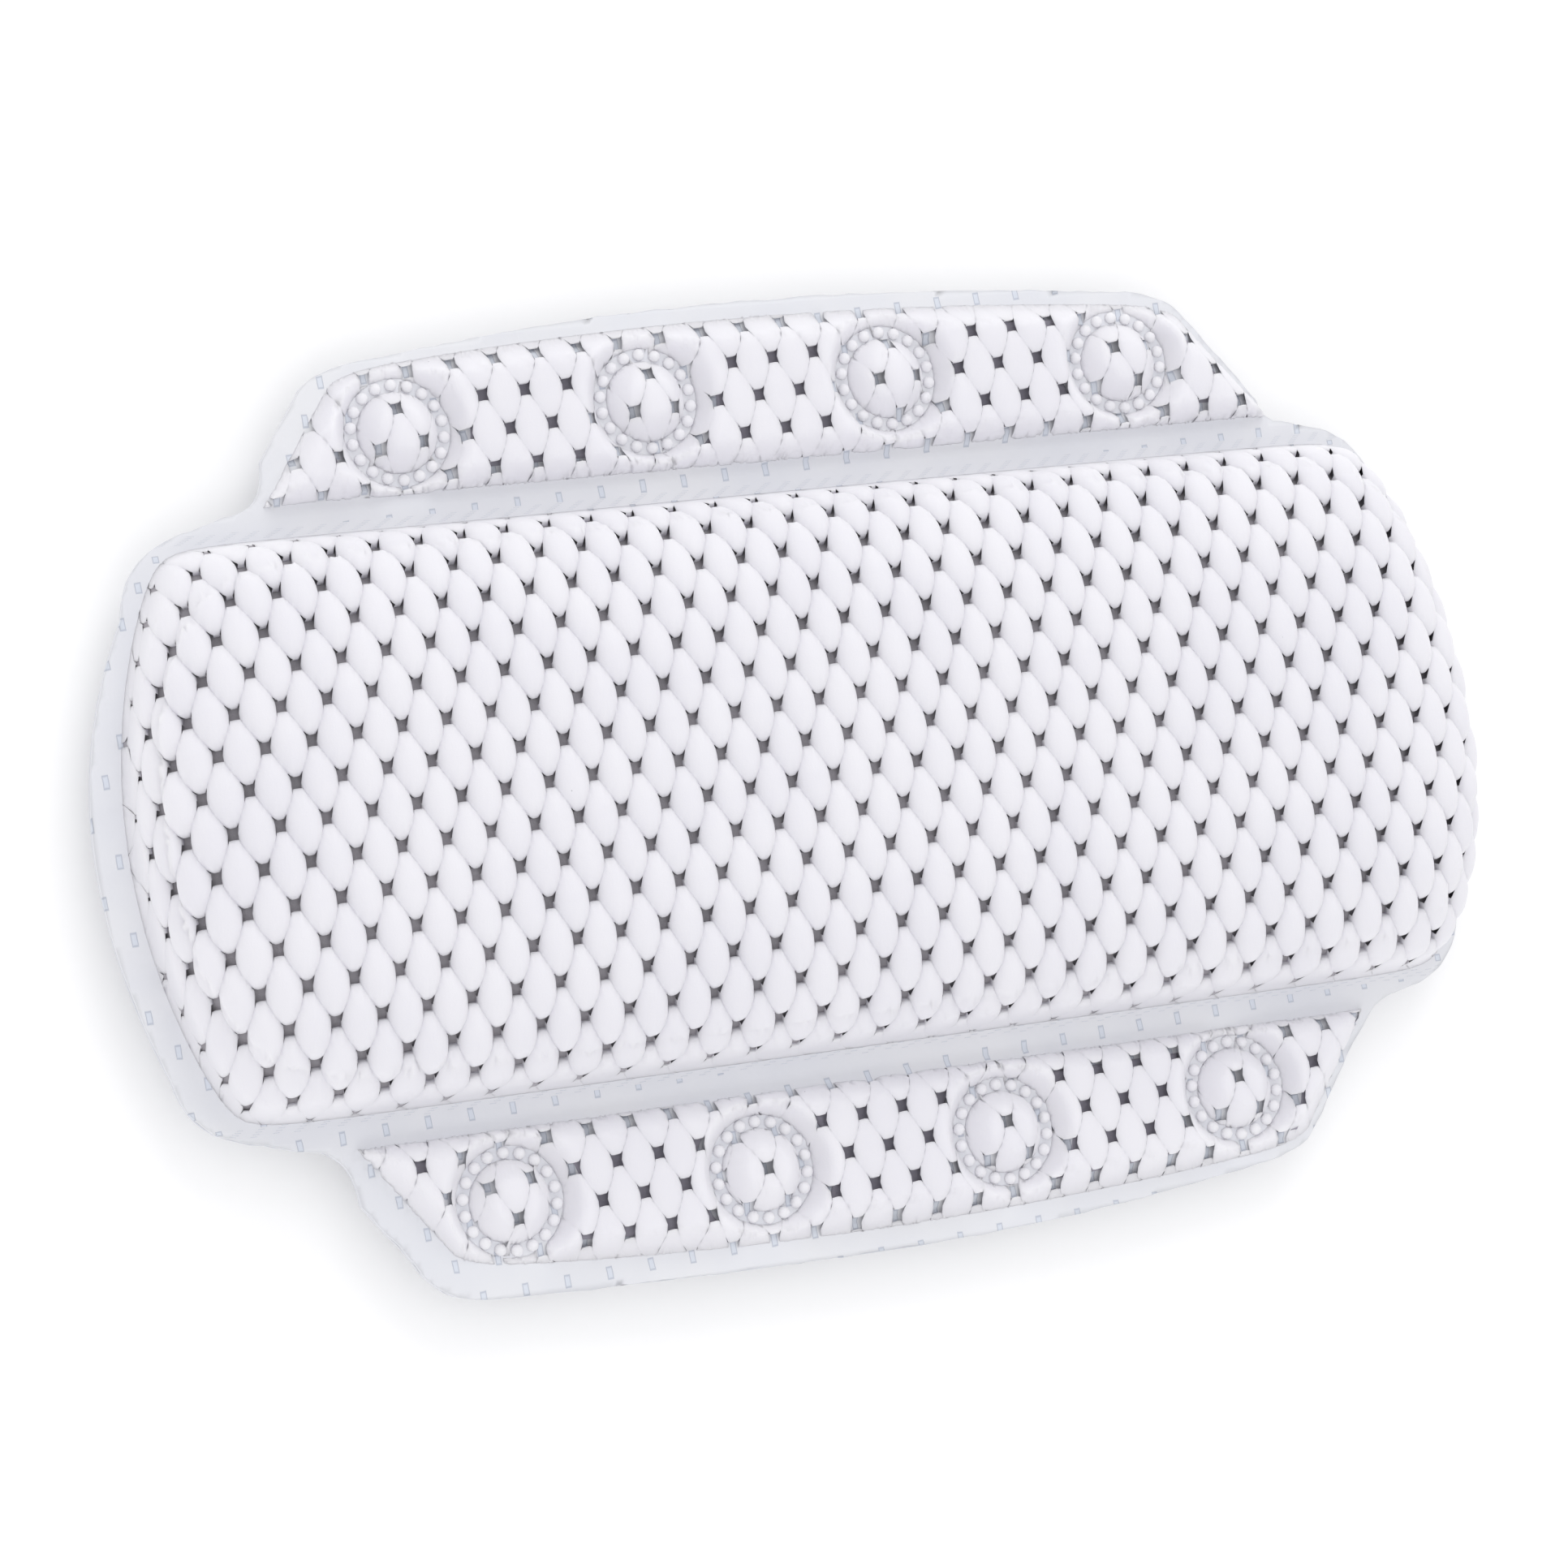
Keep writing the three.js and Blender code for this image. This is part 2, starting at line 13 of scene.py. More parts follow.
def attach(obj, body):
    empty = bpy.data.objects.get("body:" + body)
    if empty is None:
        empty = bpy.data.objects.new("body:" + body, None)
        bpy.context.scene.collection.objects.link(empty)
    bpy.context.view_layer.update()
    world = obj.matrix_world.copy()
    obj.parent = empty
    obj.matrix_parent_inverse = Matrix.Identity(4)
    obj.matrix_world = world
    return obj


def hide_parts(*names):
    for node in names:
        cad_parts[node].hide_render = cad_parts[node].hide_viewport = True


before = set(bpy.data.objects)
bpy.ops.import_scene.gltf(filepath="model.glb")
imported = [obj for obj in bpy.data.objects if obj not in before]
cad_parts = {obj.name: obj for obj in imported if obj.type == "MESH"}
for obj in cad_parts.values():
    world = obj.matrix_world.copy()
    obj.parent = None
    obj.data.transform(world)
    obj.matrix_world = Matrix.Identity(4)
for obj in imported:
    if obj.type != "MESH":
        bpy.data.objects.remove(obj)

log = logging.getLogger("bath_pillow")
MM = 0.001
PILLOW_BODY = "root"
MERGE_DISTANCE = 0.02 * MM
FILLING_GAP = 0.3 * MM


class Flap(Enum):
    """The two flaps that carry the suction cups, with the sign of their side of the pillow."""

    UPPER = 1
    LOWER = -1

    @property
    def label(self) -> str:
        """The name that the flap has in node names."""
        return self.name.lower()


class Slot(Enum):
    """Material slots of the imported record."""

    MESH = "mesh"
    BACK = "back"
    CORE = "core"
    CUP = "cup"


def smooth_step(value: np.ndarray, low: float, high: float) -> np.ndarray:
    """Eases from 0 at low to 1 at high.

    Args:
        value: Numbers to ease.
        low: Where the step starts.
        high: Where the step ends.

    Returns:
        Numbers from 0 to 1.
    """
    share = np.clip((value - low) / (high - low), 0.0, 1.0)
    return share * share * (3.0 - 2.0 * share)


def quadratic(
    start: Sequence[float], control: Sequence[float], end: Sequence[float], steps: int
) -> np.ndarray:
    """Points on a quadratic curve, without its first point.

    Args:
        start: First point.
        control: Point that pulls the curve.
        end: Last point.
        steps: How many points to make.

    Returns:
        The points, steps by 2.
    """
    share = (np.arange(1, steps + 1) / steps)[:, None]
    a, b, c = (np.asarray(p, float) for p in (start, control, end))
    return a * (1 - share) ** 2 + b * 2 * share * (1 - share) + c * share**2


def crowded(edge: float) -> np.ndarray:
    """900 places from 0 to an edge, closer together towards the edge."""
    return edge * np.sin(np.linspace(0.0, np.pi / 2, 900)) ** 0.6


def run_lengths(flat: np.ndarray, height: np.ndarray) -> np.ndarray:
    """Lengths along a curve from its first point to each."""
    return np.concatenate([[0.0], np.cumsum(np.hypot(np.diff(flat), np.diff(height)))])


def new_verts(made: dict) -> list[bmesh.types.BMVert]:
    """The vertices that an extrusion made."""
    return [part for part in made["geom"] if isinstance(part, bmesh.types.BMVert)]


def ringed_disc(segments: int, rings: Sequence[float]) -> bmesh.types.BMesh:
    """A flat disc of radius 1 with rings of faces round a middle face.

    Args:
        segments: Points round each ring.
        rings: Radii, from 1 inwards.

    Returns:
        The disc, facing up.
    """
    bm = bmesh.new()
    bmesh.ops.create_circle(bm, cap_ends=True, radius=1.0, segments=segments)
    bm.faces.ensure_lookup_table()
    middle = bm.faces[0]
    if middle.normal.z < 0:
        bmesh.ops.reverse_faces(bm, faces=[middle])
    for outer, inner in zip(rings, rings[1:]):
        depth = (outer - inner) * math.cos(math.pi / segments)
        bmesh.ops.inset_region(bm, faces=[middle], thickness=depth, use_boundary=True, use_even_offset=True)
    bmesh.ops.poke(bm, faces=[middle])
    return bm


@dataclass(frozen=True)
class Outline:
    """A closed outline on the plane, run counterclockwise."""

    points: np.ndarray

    def measure(self, x: np.ndarray, y: np.ndarray) -> tuple[np.ndarray, np.ndarray]:
        """Finds how far inside the outline each spot lies, and the outline's nearest point.

        Args:
            x: Places along X.
            y: Places along Y.

        Returns:
            Distances, positive inside, and the nearest points, n by 2.
        """
        a, b = self.points, np.roll(self.points, -1, axis=0)
        run = b - a
        spots = np.stack([x, y], axis=-1)
        best = np.full(len(spots), np.inf)
        near = np.zeros_like(spots)
        crossings = np.zeros(len(spots), int)
        for start, step, stop in zip(a, run, b):
            share = np.clip((spots - start) @ step / max(step @ step, 1e-18), 0.0, 1.0)
            at = start + share[:, None] * step
            gap = np.linalg.norm(spots - at, axis=1)
            closer = gap < best
            best[closer] = gap[closer]
            near[closer] = at[closer]
            spans = (start[1] > spots[:, 1]) != (stop[1] > spots[:, 1])
            if step[1] != 0.0:
                reach = start[0] + (spots[:, 1] - start[1]) * step[0] / step[1]
                crossings += spans & (spots[:, 0] < reach)
        return np.where(crossings % 2 == 1, best, -best), near


def outlined_grid(outline: Outline, spacing: float) -> tuple[bmesh.types.BMesh, np.ndarray, np.ndarray]:
    """A grid over an outline, with the places outside drawn to its nearest point.

    Args:
        outline: What to cover.
        spacing: Size of the grid's squares.

    Returns:
        The grid, the vertices' places, n by 2, and which of them were outside.
    """
    low, high = outline.points.min(axis=0), outline.points.max(axis=0)
    counts = np.ceil((high - low) / spacing).astype(int) + 2
    bm = bmesh.new()
    bmesh.ops.create_grid(bm, x_segments=int(counts[0]), y_segments=int(counts[1]), size=0.5)
    flat = np.array([v.co[:2] for v in bm.verts]) * counts * spacing + (low + high) / 2
    inside, near = outline.measure(flat[:, 0], flat[:, 1])
    out = inside <= 0.0
    flat[out] = near[out]
    return bm, flat, out


def cut_outside(bm: bmesh.types.BMesh, out: np.ndarray, merge: float) -> None:
    """Removes the faces whose corners are all outside, and merges what lies close.

    Args:
        bm: The sheet.
        out: Which vertices are outside.
        merge: Distance within which vertices become one.
    """
    empty = [f for f in bm.faces if all(out[v.index] for v in f.verts)]
    bmesh.ops.delete(bm, geom=empty, context="FACES")
    bmesh.ops.remove_doubles(bm, verts=bm.verts, dist=merge)


@dataclass(frozen=True)
class Loaf:
    """A low loaf with bowed ends and nearly straight sides."""

    half_length: float
    half_width: float
    rise: float
    base: float
    end_bow_share: float = 0.095
    corner_share: float = 0.04
    end_power: float = 12.0
    side_power: float = 3.5
    crown_power: float = 1.7
    right_trim: float = 2.6 * MM
    trim_along: tuple[float, float] = (120 * MM, 150 * MM)
    trim_across: tuple[float, float] = (-35 * MM, 30 * MM)
    seam_halvings: int = 40

    def share(self, x: np.ndarray, y: np.ndarray) -> np.ndarray:
        """1 on the crown's middle, 0 on the seam and negative outside it.

        Args:
            x: Places along X.
            y: Places along Y.

        Returns:
            Shares of the crown's level.
        """
        end = self.half_length * (1.0 - self.end_bow_share * np.clip(y / self.half_width, -1.1, 1.1) ** 2)
        end = end - self.trim(x, y)
        along = 1.0 - np.abs(x / end) ** self.end_power
        across = 1.0 - np.abs(y / self.half_width) ** self.side_power
        outside = np.minimum(along, 0.0) + np.minimum(across, 0.0)
        both = np.where(outside < 0.0, outside, along * across)
        return (both - self.corner_share) / (1.0 - self.corner_share)

    def trim(self, x: np.ndarray, y: np.ndarray) -> np.ndarray:
        """How far the right-hand end is cut in, above the middle line."""
        return self.right_trim * smooth_step(x, *self.trim_along) * smooth_step(y, *self.trim_across)

    def height(self, x: np.ndarray, y: np.ndarray) -> np.ndarray:
        """Height of the loaf's surface."""
        return self.base + self.rise * np.clip(self.share(x, y), 0.0, 1.0) ** (1.0 / self.crown_power)

    def normal(self, x: np.ndarray, y: np.ndarray) -> np.ndarray:
        """Unit normals of the surface, n by 3.

        Args:
            x: Places along X.
            y: Places along Y.

        Returns:
            The normals.
        """
        step = 0.05 * MM
        along = (self.share(x - step, y) - self.share(x + step, y)) / (2 * step)
        across = (self.share(x, y - step) - self.share(x, y + step)) / (2 * step)
        level = np.clip(self.share(x, y), 0.0, 1.0) ** ((self.crown_power - 1) / self.crown_power)
        normals = np.stack([along, across, self.crown_power * level / self.rise], axis=-1)
        return normals / np.maximum(np.linalg.norm(normals, axis=1, keepdims=True), 1e-9)

    def seam(self, count: int = 360) -> Outline:
        """The seam, counterclockwise, found along rays from the middle.

        Args:
            count: How many rays.

        Returns:
            The seam's outline.
        """
        angle = np.arange(count) * 2 * np.pi / count
        rays = np.stack([self.half_length * np.cos(angle), self.half_width * np.sin(angle)], axis=-1)
        low, high = np.zeros(count), np.full(count, 1.5)
        for _ in range(self.seam_halvings):
            middle = (low + high) / 2
            inside = self.share(*(rays * middle[:, None]).T) > 0.0
            low, high = np.where(inside, middle, low), np.where(inside, high, middle)
        return Outline(rays * low[:, None])

    def unrolled(self) -> tuple[np.ndarray, np.ndarray]:
        """Sheet length run out from the crown's middle, and the distance across that it reaches.

        Returns:
            Lengths along the sheet, and distances from the middle line.
        """
        edge = self.seam(4).points[1, 1]
        y = crowded(edge)
        z = self.height(np.zeros_like(y), y)
        return run_lengths(y, z), y

    def gathered(self, x: np.ndarray, y: np.ndarray) -> np.ndarray:
        """Where places along the flat sheet come to lie along X, once it runs down the steep ends.

        Args:
            x: Places along the flat sheet.
            y: Distances from the middle line.

        Returns:
            Places along X.
        """
        end = self.seam(2).points[0, 0]
        along = crowded(end)
        z = self.height(along, np.zeros_like(along))
        length = run_lengths(along, z)
        bow = 1.0 - self.end_bow_share * np.clip(y / self.half_width, -1.0, 1.0) ** 2
        run = np.abs(x) / bow
        taken = run - np.interp(run, length, along) - np.maximum(run - length[-1], 0.0)
        level = (self.height(np.zeros_like(y), y) - self.base) / self.rise
        return np.sign(x) * (run - taken * level) * bow

    def shrunk(self, inset: float) -> "Loaf":
        """The loaf that lies inside this one by an inset on every side.

        Args:
            inset: How far inside.

        Returns:
            The smaller loaf.
        """
        return replace(
            self,
            half_length=self.half_length - inset,
            half_width=self.half_width - inset,
            rise=self.rise - inset,
        )


@dataclass(frozen=True)
class Margin:
    """How far the welded sheets reach past the puffed parts in one quarter of the pillow, in metres."""

    end: float
    slant: float
    outer: float
    corner_cut: float
    notch: float
    round_off: float = 0.0
    straight: float = 0.0


@dataclass(frozen=True)
class Plan:
    """Places and sizes that all the sheets share, in metres."""

    bolster: Loaf = field(default_factory=lambda: Loaf(158 * MM, 63 * MM, 22.2 * MM, 11.5 * MM))
    underside: float = 9.0 * MM
    back_top: float = 10.0 * MM
    weld_top: float = 11.5 * MM
    strip: float = 6 * MM
    flap_width: float = 33 * MM
    flap_inner_half: float = 118 * MM
    flap_outer_half: float = 100 * MM
    flap_chamfer: float = 25 * MM
    flap_rise: float = 3.6 * MM
    ring_spacing: float = 57.4 * MM
    ring_bow: float = 1.8 * MM
    ring_tilt: float = 0.0105
    ring_inset: float = 14.6 * MM
    ring_outer: float = 11.85 * MM
    ring_inner: float = 9.1 * MM
    rings: int = 4
    right_reach: float = 3.0 * MM
    margins: tuple[Margin, ...] = (
        Margin(4.0 * MM, 1.6 * MM, 3.6 * MM, 4.6 * MM, 4.0 * MM, 3.0 * MM),
        Margin(6.4 * MM, 6.2 * MM, 3.6 * MM, 6.4 * MM, 10.0 * MM, 3.0 * MM),
        Margin(6.4 * MM, 9.0 * MM, 4.8 * MM, 2.4 * MM, 12.0 * MM),
        Margin(4.0 * MM, 1.8 * MM, 4.8 * MM, 6.4 * MM, 9.0 * MM, 2.8 * MM, 1.0),
    )
    pad_inset: float = 4.2 * MM
    pad_top: float = 13.9 * MM
    ring_clearance: float = 4.0 * MM
    flap_corner_cut: float = 3.8 * MM
    end_corner: tuple[float, float] = (9.5 * MM, 13.5 * MM)
    end_shoulder: tuple[float, float] = (21 * MM, 2.5 * MM)
    notch_rise: float = 2.3 * MM
    notch_bend: float = 0.3 * MM
    flap_corner: tuple[float, float] = (16 * MM, 4 * MM)

    @property
    def flap_inner_y(self) -> float:
        """Distance of a flap's inner edge from the middle line."""
        return self.bolster.half_width + self.strip

    @property
    def flap_outer_y(self) -> float:
        """Distance of a flap's outer edge from the middle line."""
        return self.flap_inner_y + self.flap_width

    def chamfer_x(self, y: float) -> float:
        """Where a flap's slanted end lies at a distance from the middle line."""
        run = self.flap_inner_half - self.flap_outer_half
        return self.flap_inner_half - run * (y - self.flap_inner_y) / self.flap_chamfer

    def flap_outline(self, flap: Flap, inset: float = 0.0) -> Outline:
        """Outline of a flap's puffed part.

        Args:
            flap: Which flap.
            inset: How far inside the real outline to run.

        Returns:
            The closed outline.
        """
        right, left = self._flap_half(inset, self.right_reach), self._flap_half(inset, 0.0)
        points = np.concatenate([right, (left[:-1] * [-1, 1])[::-1]])
        if flap is Flap.LOWER:
            points = (points * [1, -1])[::-1]
        return Outline(points)

    def sheet_outline(self) -> Outline:
        """Outline of the two welded sheets, from the right-hand end round by the upper flap.

        Returns:
            The closed outline.
        """
        runs = []
        for margin, side in zip(self.margins, ((1, 1), (-1, 1), (-1, -1), (1, -1))):
            points = self._sheet_quarter(margin) * side
            runs.append(points[:-1] if side[0] == side[1] else points[:0:-1])
        points = np.concatenate(runs)
        points[:, 0] -= self.bolster.trim(*points.T)
        return Outline(points)

    def ring_centres(self, flap: Flap) -> list[tuple[float, float]]:
        """Centres of the round welds of a flap.

        Args:
            flap: Which flap.

        Returns:
            The centres, from left to right.
        """
        middle = (self.rings - 1) / 2
        centres = []
        for number in range(self.rings):
            across = (number - middle) / middle
            y = self.flap_inner_y + self.ring_inset + self.ring_bow * (1 - across**2)
            x = (number - middle) * self.ring_spacing
            centres.append((x, flap.value * y + x * self.ring_tilt))
        return centres

    def _flap_half(self, inset: float, reach: float) -> np.ndarray:
        """One end of a flap's outline, from its inner tip to the middle of its outer edge.

        Args:
            inset: How far inside the real outline to run.
            reach: How far this end is drawn out.

        Returns:
            Points, n by 2.
        """
        inner = self.flap_inner_y + inset
        knee = self.flap_inner_y + self.flap_chamfer
        tip = np.array([self.chamfer_x(inner) - inset + reach, inner])
        shoulder = np.array([self.chamfer_x(knee) - inset + reach, knee])
        edge = self._flap_edge(shoulder, self.flap_outer_y - inset, self.flap_corner_cut)
        return np.concatenate([tip[None], shoulder[None], edge])

    def _sheet_quarter(self, margin: Margin) -> np.ndarray:
        """A quarter of the sheets' outline, from the end of the bolster to the middle of a flap.

        Args:
            margin: How far the sheets reach here.

        Returns:
            Points, n by 2.
        """
        reach = self.right_reach if margin.slant < self.right_reach else 0.0
        end = self.bolster.half_length + margin.end
        cut = margin.round_off
        long, wide = self.bolster.half_length, self.bolster.half_width
        corner = np.array([end - self.end_corner[0] - cut, wide - self.end_corner[1] - cut / 2])
        shoulder = np.array([long - self.end_shoulder[0] - cut, wide + self.end_shoulder[1]])
        notch_y = self.flap_inner_y + margin.notch
        notch = np.array([self.chamfer_x(notch_y) + reach + margin.slant, notch_y])
        dip = np.array([notch[0] + margin.notch, shoulder[1] + self.notch_rise])
        bend = np.array([notch[0] + self.notch_bend, dip[1]])
        bend += ((notch + dip) / 2 - bend) * margin.straight
        knee_y = self.flap_inner_y + self.flap_chamfer
        knee = np.array([self.chamfer_x(knee_y) + reach + margin.slant, knee_y])
        return np.concatenate(
            [
                [[end, 0.0]],
                quadratic((end, 0.0), (end, corner[1] / 2), corner, 14),
                quadratic(corner, (corner[0] - 2 * MM, shoulder[1] - 2.5 * MM), shoulder, 10),
                quadratic(shoulder, (shoulder + dip) / 2, dip, 3),
                quadratic(dip, bend, notch, 10),
                quadratic(notch, (notch + knee) / 2, knee, 4),
                self._flap_edge(knee, self.flap_outer_y + margin.outer, margin.corner_cut),
            ]
        )

    def _flap_edge(self, knee: np.ndarray, outer: float, cut: float) -> np.ndarray:
        """A flap's rounded corner and its slightly bowed outer edge.

        Args:
            knee: Where the slanted end stops.
            outer: Distance of the edge's middle from the middle line.
            cut: How much nearer the corner lies.

        Returns:
            Points, n by 2.
        """
        corner_y = outer - cut
        edge = np.array([knee[0] - self.flap_corner[0], corner_y])
        corner = quadratic(knee, (knee[0] - self.flap_corner[1], corner_y - 1 * MM), edge, 8)
        return np.concatenate([corner, quadratic(edge, (edge[0] / 2, outer), (0.0, outer), 14)])


@dataclass(frozen=True)
class Lattice:
    """The staggered pattern of the mesh sheet: drain holes where i + j is even, pods where it is odd."""

    pitch: float
    period: float
    turn: float
    origin: tuple[float, float]

    def spots(
        self, i: np.ndarray, j: np.ndarray, dx: np.ndarray, dy: np.ndarray
    ) -> tuple[np.ndarray, np.ndarray]:
        """Places on the flat-laid sheet.

        Args:
            i: Half columns.
            j: Half rows.
            dx: Offsets along a row.
            dy: Offsets along a column.

        Returns:
            Places along X and along the sheet's width.
        """
        x, y = i * self.pitch / 2 + dx, j * self.period / 2 + dy
        c, s = math.cos(self.turn), math.sin(self.turn)
        return x * c - y * s + self.origin[0], x * s + y * c + self.origin[1]

    def indices(self, x: np.ndarray, y: np.ndarray) -> tuple[np.ndarray, np.ndarray]:
        """Half columns and half rows, as fractions, of places on the sheet.

        Args:
            x: Places along X.
            y: Places along Y.

        Returns:
            Half columns and half rows.
        """
        c, s = math.cos(self.turn), math.sin(self.turn)
        dx, dy = x - self.origin[0], y - self.origin[1]
        return (dx * c + dy * s) * 2 / self.pitch, (dy * c - dx * s) * 2 / self.period

    def cells(self, low: Sequence[float], high: Sequence[float]) -> np.ndarray:
        """Pods whose middles lie in a box on the flat-laid sheet, n by 2.

        Args:
            low: Lower left corner of the box.
            high: Upper right corner of the box.

        Returns:
            Half column and half row of each pod.
        """
        corners = self.indices(np.array([low[0], low[0], high[0], high[0]]), np.array([low[1], high[1]] * 2))
        spans = [range(math.floor(c.min()), math.ceil(c.max()) + 1) for c in corners]
        found = np.array([(i, j) for j in spans[1] for i in spans[0] if (i + j) % 2])
        x, y = self.spots(found[:, 0], found[:, 1], 0.0, 0.0)
        keep = (x > low[0]) & (x < high[0]) & (y > low[1]) & (y < high[1])
        return found[keep]


@dataclass(frozen=True)
class PodTile:
    """One egg-shaped pod between its four drain holes, as rings from its rim to its middle."""

    lattice: Lattice
    hole_width: float
    hole_height: float
    height: float
    rings: tuple[float, ...] = (1.0, 0.965, 0.88, 0.74, 0.54, 0.28)
    valley_shares: tuple[float, ...] = (0.0, 0.15, 0.5, 0.85)
    side_steps: int = 2
    end_steps: int = 3
    end_bulge: float = 0.12 * MM
    spread: float = 1.05
    fullness: float = 0.45
    upper_end: float = 2.25
    lower_end: float = 2.6
    web: float = 0.02
    lean: float = -0.06
    crease_reach: float = 1.2 * MM
    crease_tries: int = 241

    @property
    def rim_count(self) -> int:
        """Points round the rim."""
        return 2 * (self.side_steps + self.end_steps) + 4 * len(self.valley_shares)

    def egg(self, points: np.ndarray) -> np.ndarray:
        """Height of an egg that fills the cell, as a share of the pod's height.

        Args:
            points: Offsets from the middle, n by 2.

        Returns:
            Shares from 0 to 1.
        """
        along = points[:, 1] * 2 / (self.lattice.period - self.hole_height) / self.spread
        along = along - self.lean * np.maximum(1.0 - along**2, 0.0)
        across = points[:, 0] * 2 / (self.lattice.pitch - self.hole_width) / self.spread
        power = np.where(along > 0.0, self.upper_end, self.lower_end)
        left = 1.0 - across**2 - np.abs(along) ** power
        return np.maximum(left, 0.0) ** self.fullness

    def rim(self) -> tuple[np.ndarray, np.ndarray, np.ndarray]:
        """The rim of a pod, counterclockwise from the lower corner of its right-hand hole.

        Returns:
            Points, n by 2, their shares of the pod's height, and how near they are to a hole, 1 on one.
        """
        w, h = self.hole_width / 2, self.hole_height / 2
        a, b = self.lattice.pitch / 2, self.lattice.period / 2
        corners = [(a - w, -h), (a - w, h), (w, b - h), (-w, b - h)]
        corners += [(w - a, h), (w - a, -h), (-w, h - b), (w, h - b)]
        points, levels, holes = [], [], []
        for number, corner in enumerate(corners):
            start, stop = np.array(corner), np.array(corners[(number + 1) % 8])
            run = stop - start
            side = np.array([-run[1], run[0]]) / np.linalg.norm(run)
            at_hole = number % 2 == 0
            at_end = number in (2, 6)
            steps = self.end_steps if at_end else self.side_steps
            for share in [k / steps for k in range(steps)] if at_hole else self.valley_shares:
                spot = start + run * share
                if at_hole:
                    spot -= side * self.end_bulge * at_end * math.sin(math.pi * share)
                elif share > 0.0:
                    shifts = np.linspace(-self.crease_reach, self.crease_reach, self.crease_tries)
                    tries = spot + side * shifts[:, None]
                    meeting = np.minimum(self.egg(tries), self.egg(tries - np.sign(spot) * (a, b)))
                    spot = tries[(meeting - np.abs(shifts)).argmax()]
                level = self.egg(np.stack([spot, spot - np.sign(spot) * (a, b)]))
                level = level[0] if at_hole and share > 0.0 else level.max()
                points.append(spot)
                levels.append(level + self.web * math.sin(math.pi * share) * (not at_hole))
                closeness = 1.0
                if share != 0.0:
                    closeness = float(np.interp(abs(share - 0.5), [0.1, 0.5], [0.0, 1.0]))
                holes.append(1.0 if at_hole else closeness)
        return np.array(points), np.array(levels), np.array(holes)

    def make(self) -> tuple[bpy.types.Mesh, np.ndarray, np.ndarray, np.ndarray]:
        """Makes the flat tile.

        Returns:
            Its mesh, its vertices' offsets on the sheet, their heights, and how near each is to a hole.
        """
        count = self.rim_count
        bm = ringed_disc(count, self.rings)
        disc = np.array([v.co[:2] for v in bm.verts])
        tile = bpy.data.meshes.new("pod_tile")
        bm.to_mesh(tile)
        bm.free()
        radius = np.linalg.norm(disc, axis=1)
        place = np.rint(np.arctan2(disc[:, 1], disc[:, 0]) / (2 * math.pi / count)).astype(int) % count
        points, levels, holes = self.rim()
        rim, level, hole = points[place], levels[place], holes[place]
        offsets = rim * radius[:, None]
        near_rim = np.interp(radius, [self.rings[3], 1.0], [0.0, 1.0]) ** 2
        gap = level - self.egg(rim)
        heights = self.height * (self.egg(offsets) + gap * near_rim)
        return tile, offsets, heights, np.interp(radius, [0.5, 1.0], [0.0, 1.0]) ** 2 * hole


@dataclass
class Placed:
    """Where the vertices of a sheet of pods go, and what is known about each."""

    base: np.ndarray
    normal: np.ndarray
    lift: np.ndarray
    inside: np.ndarray
    depth: np.ndarray


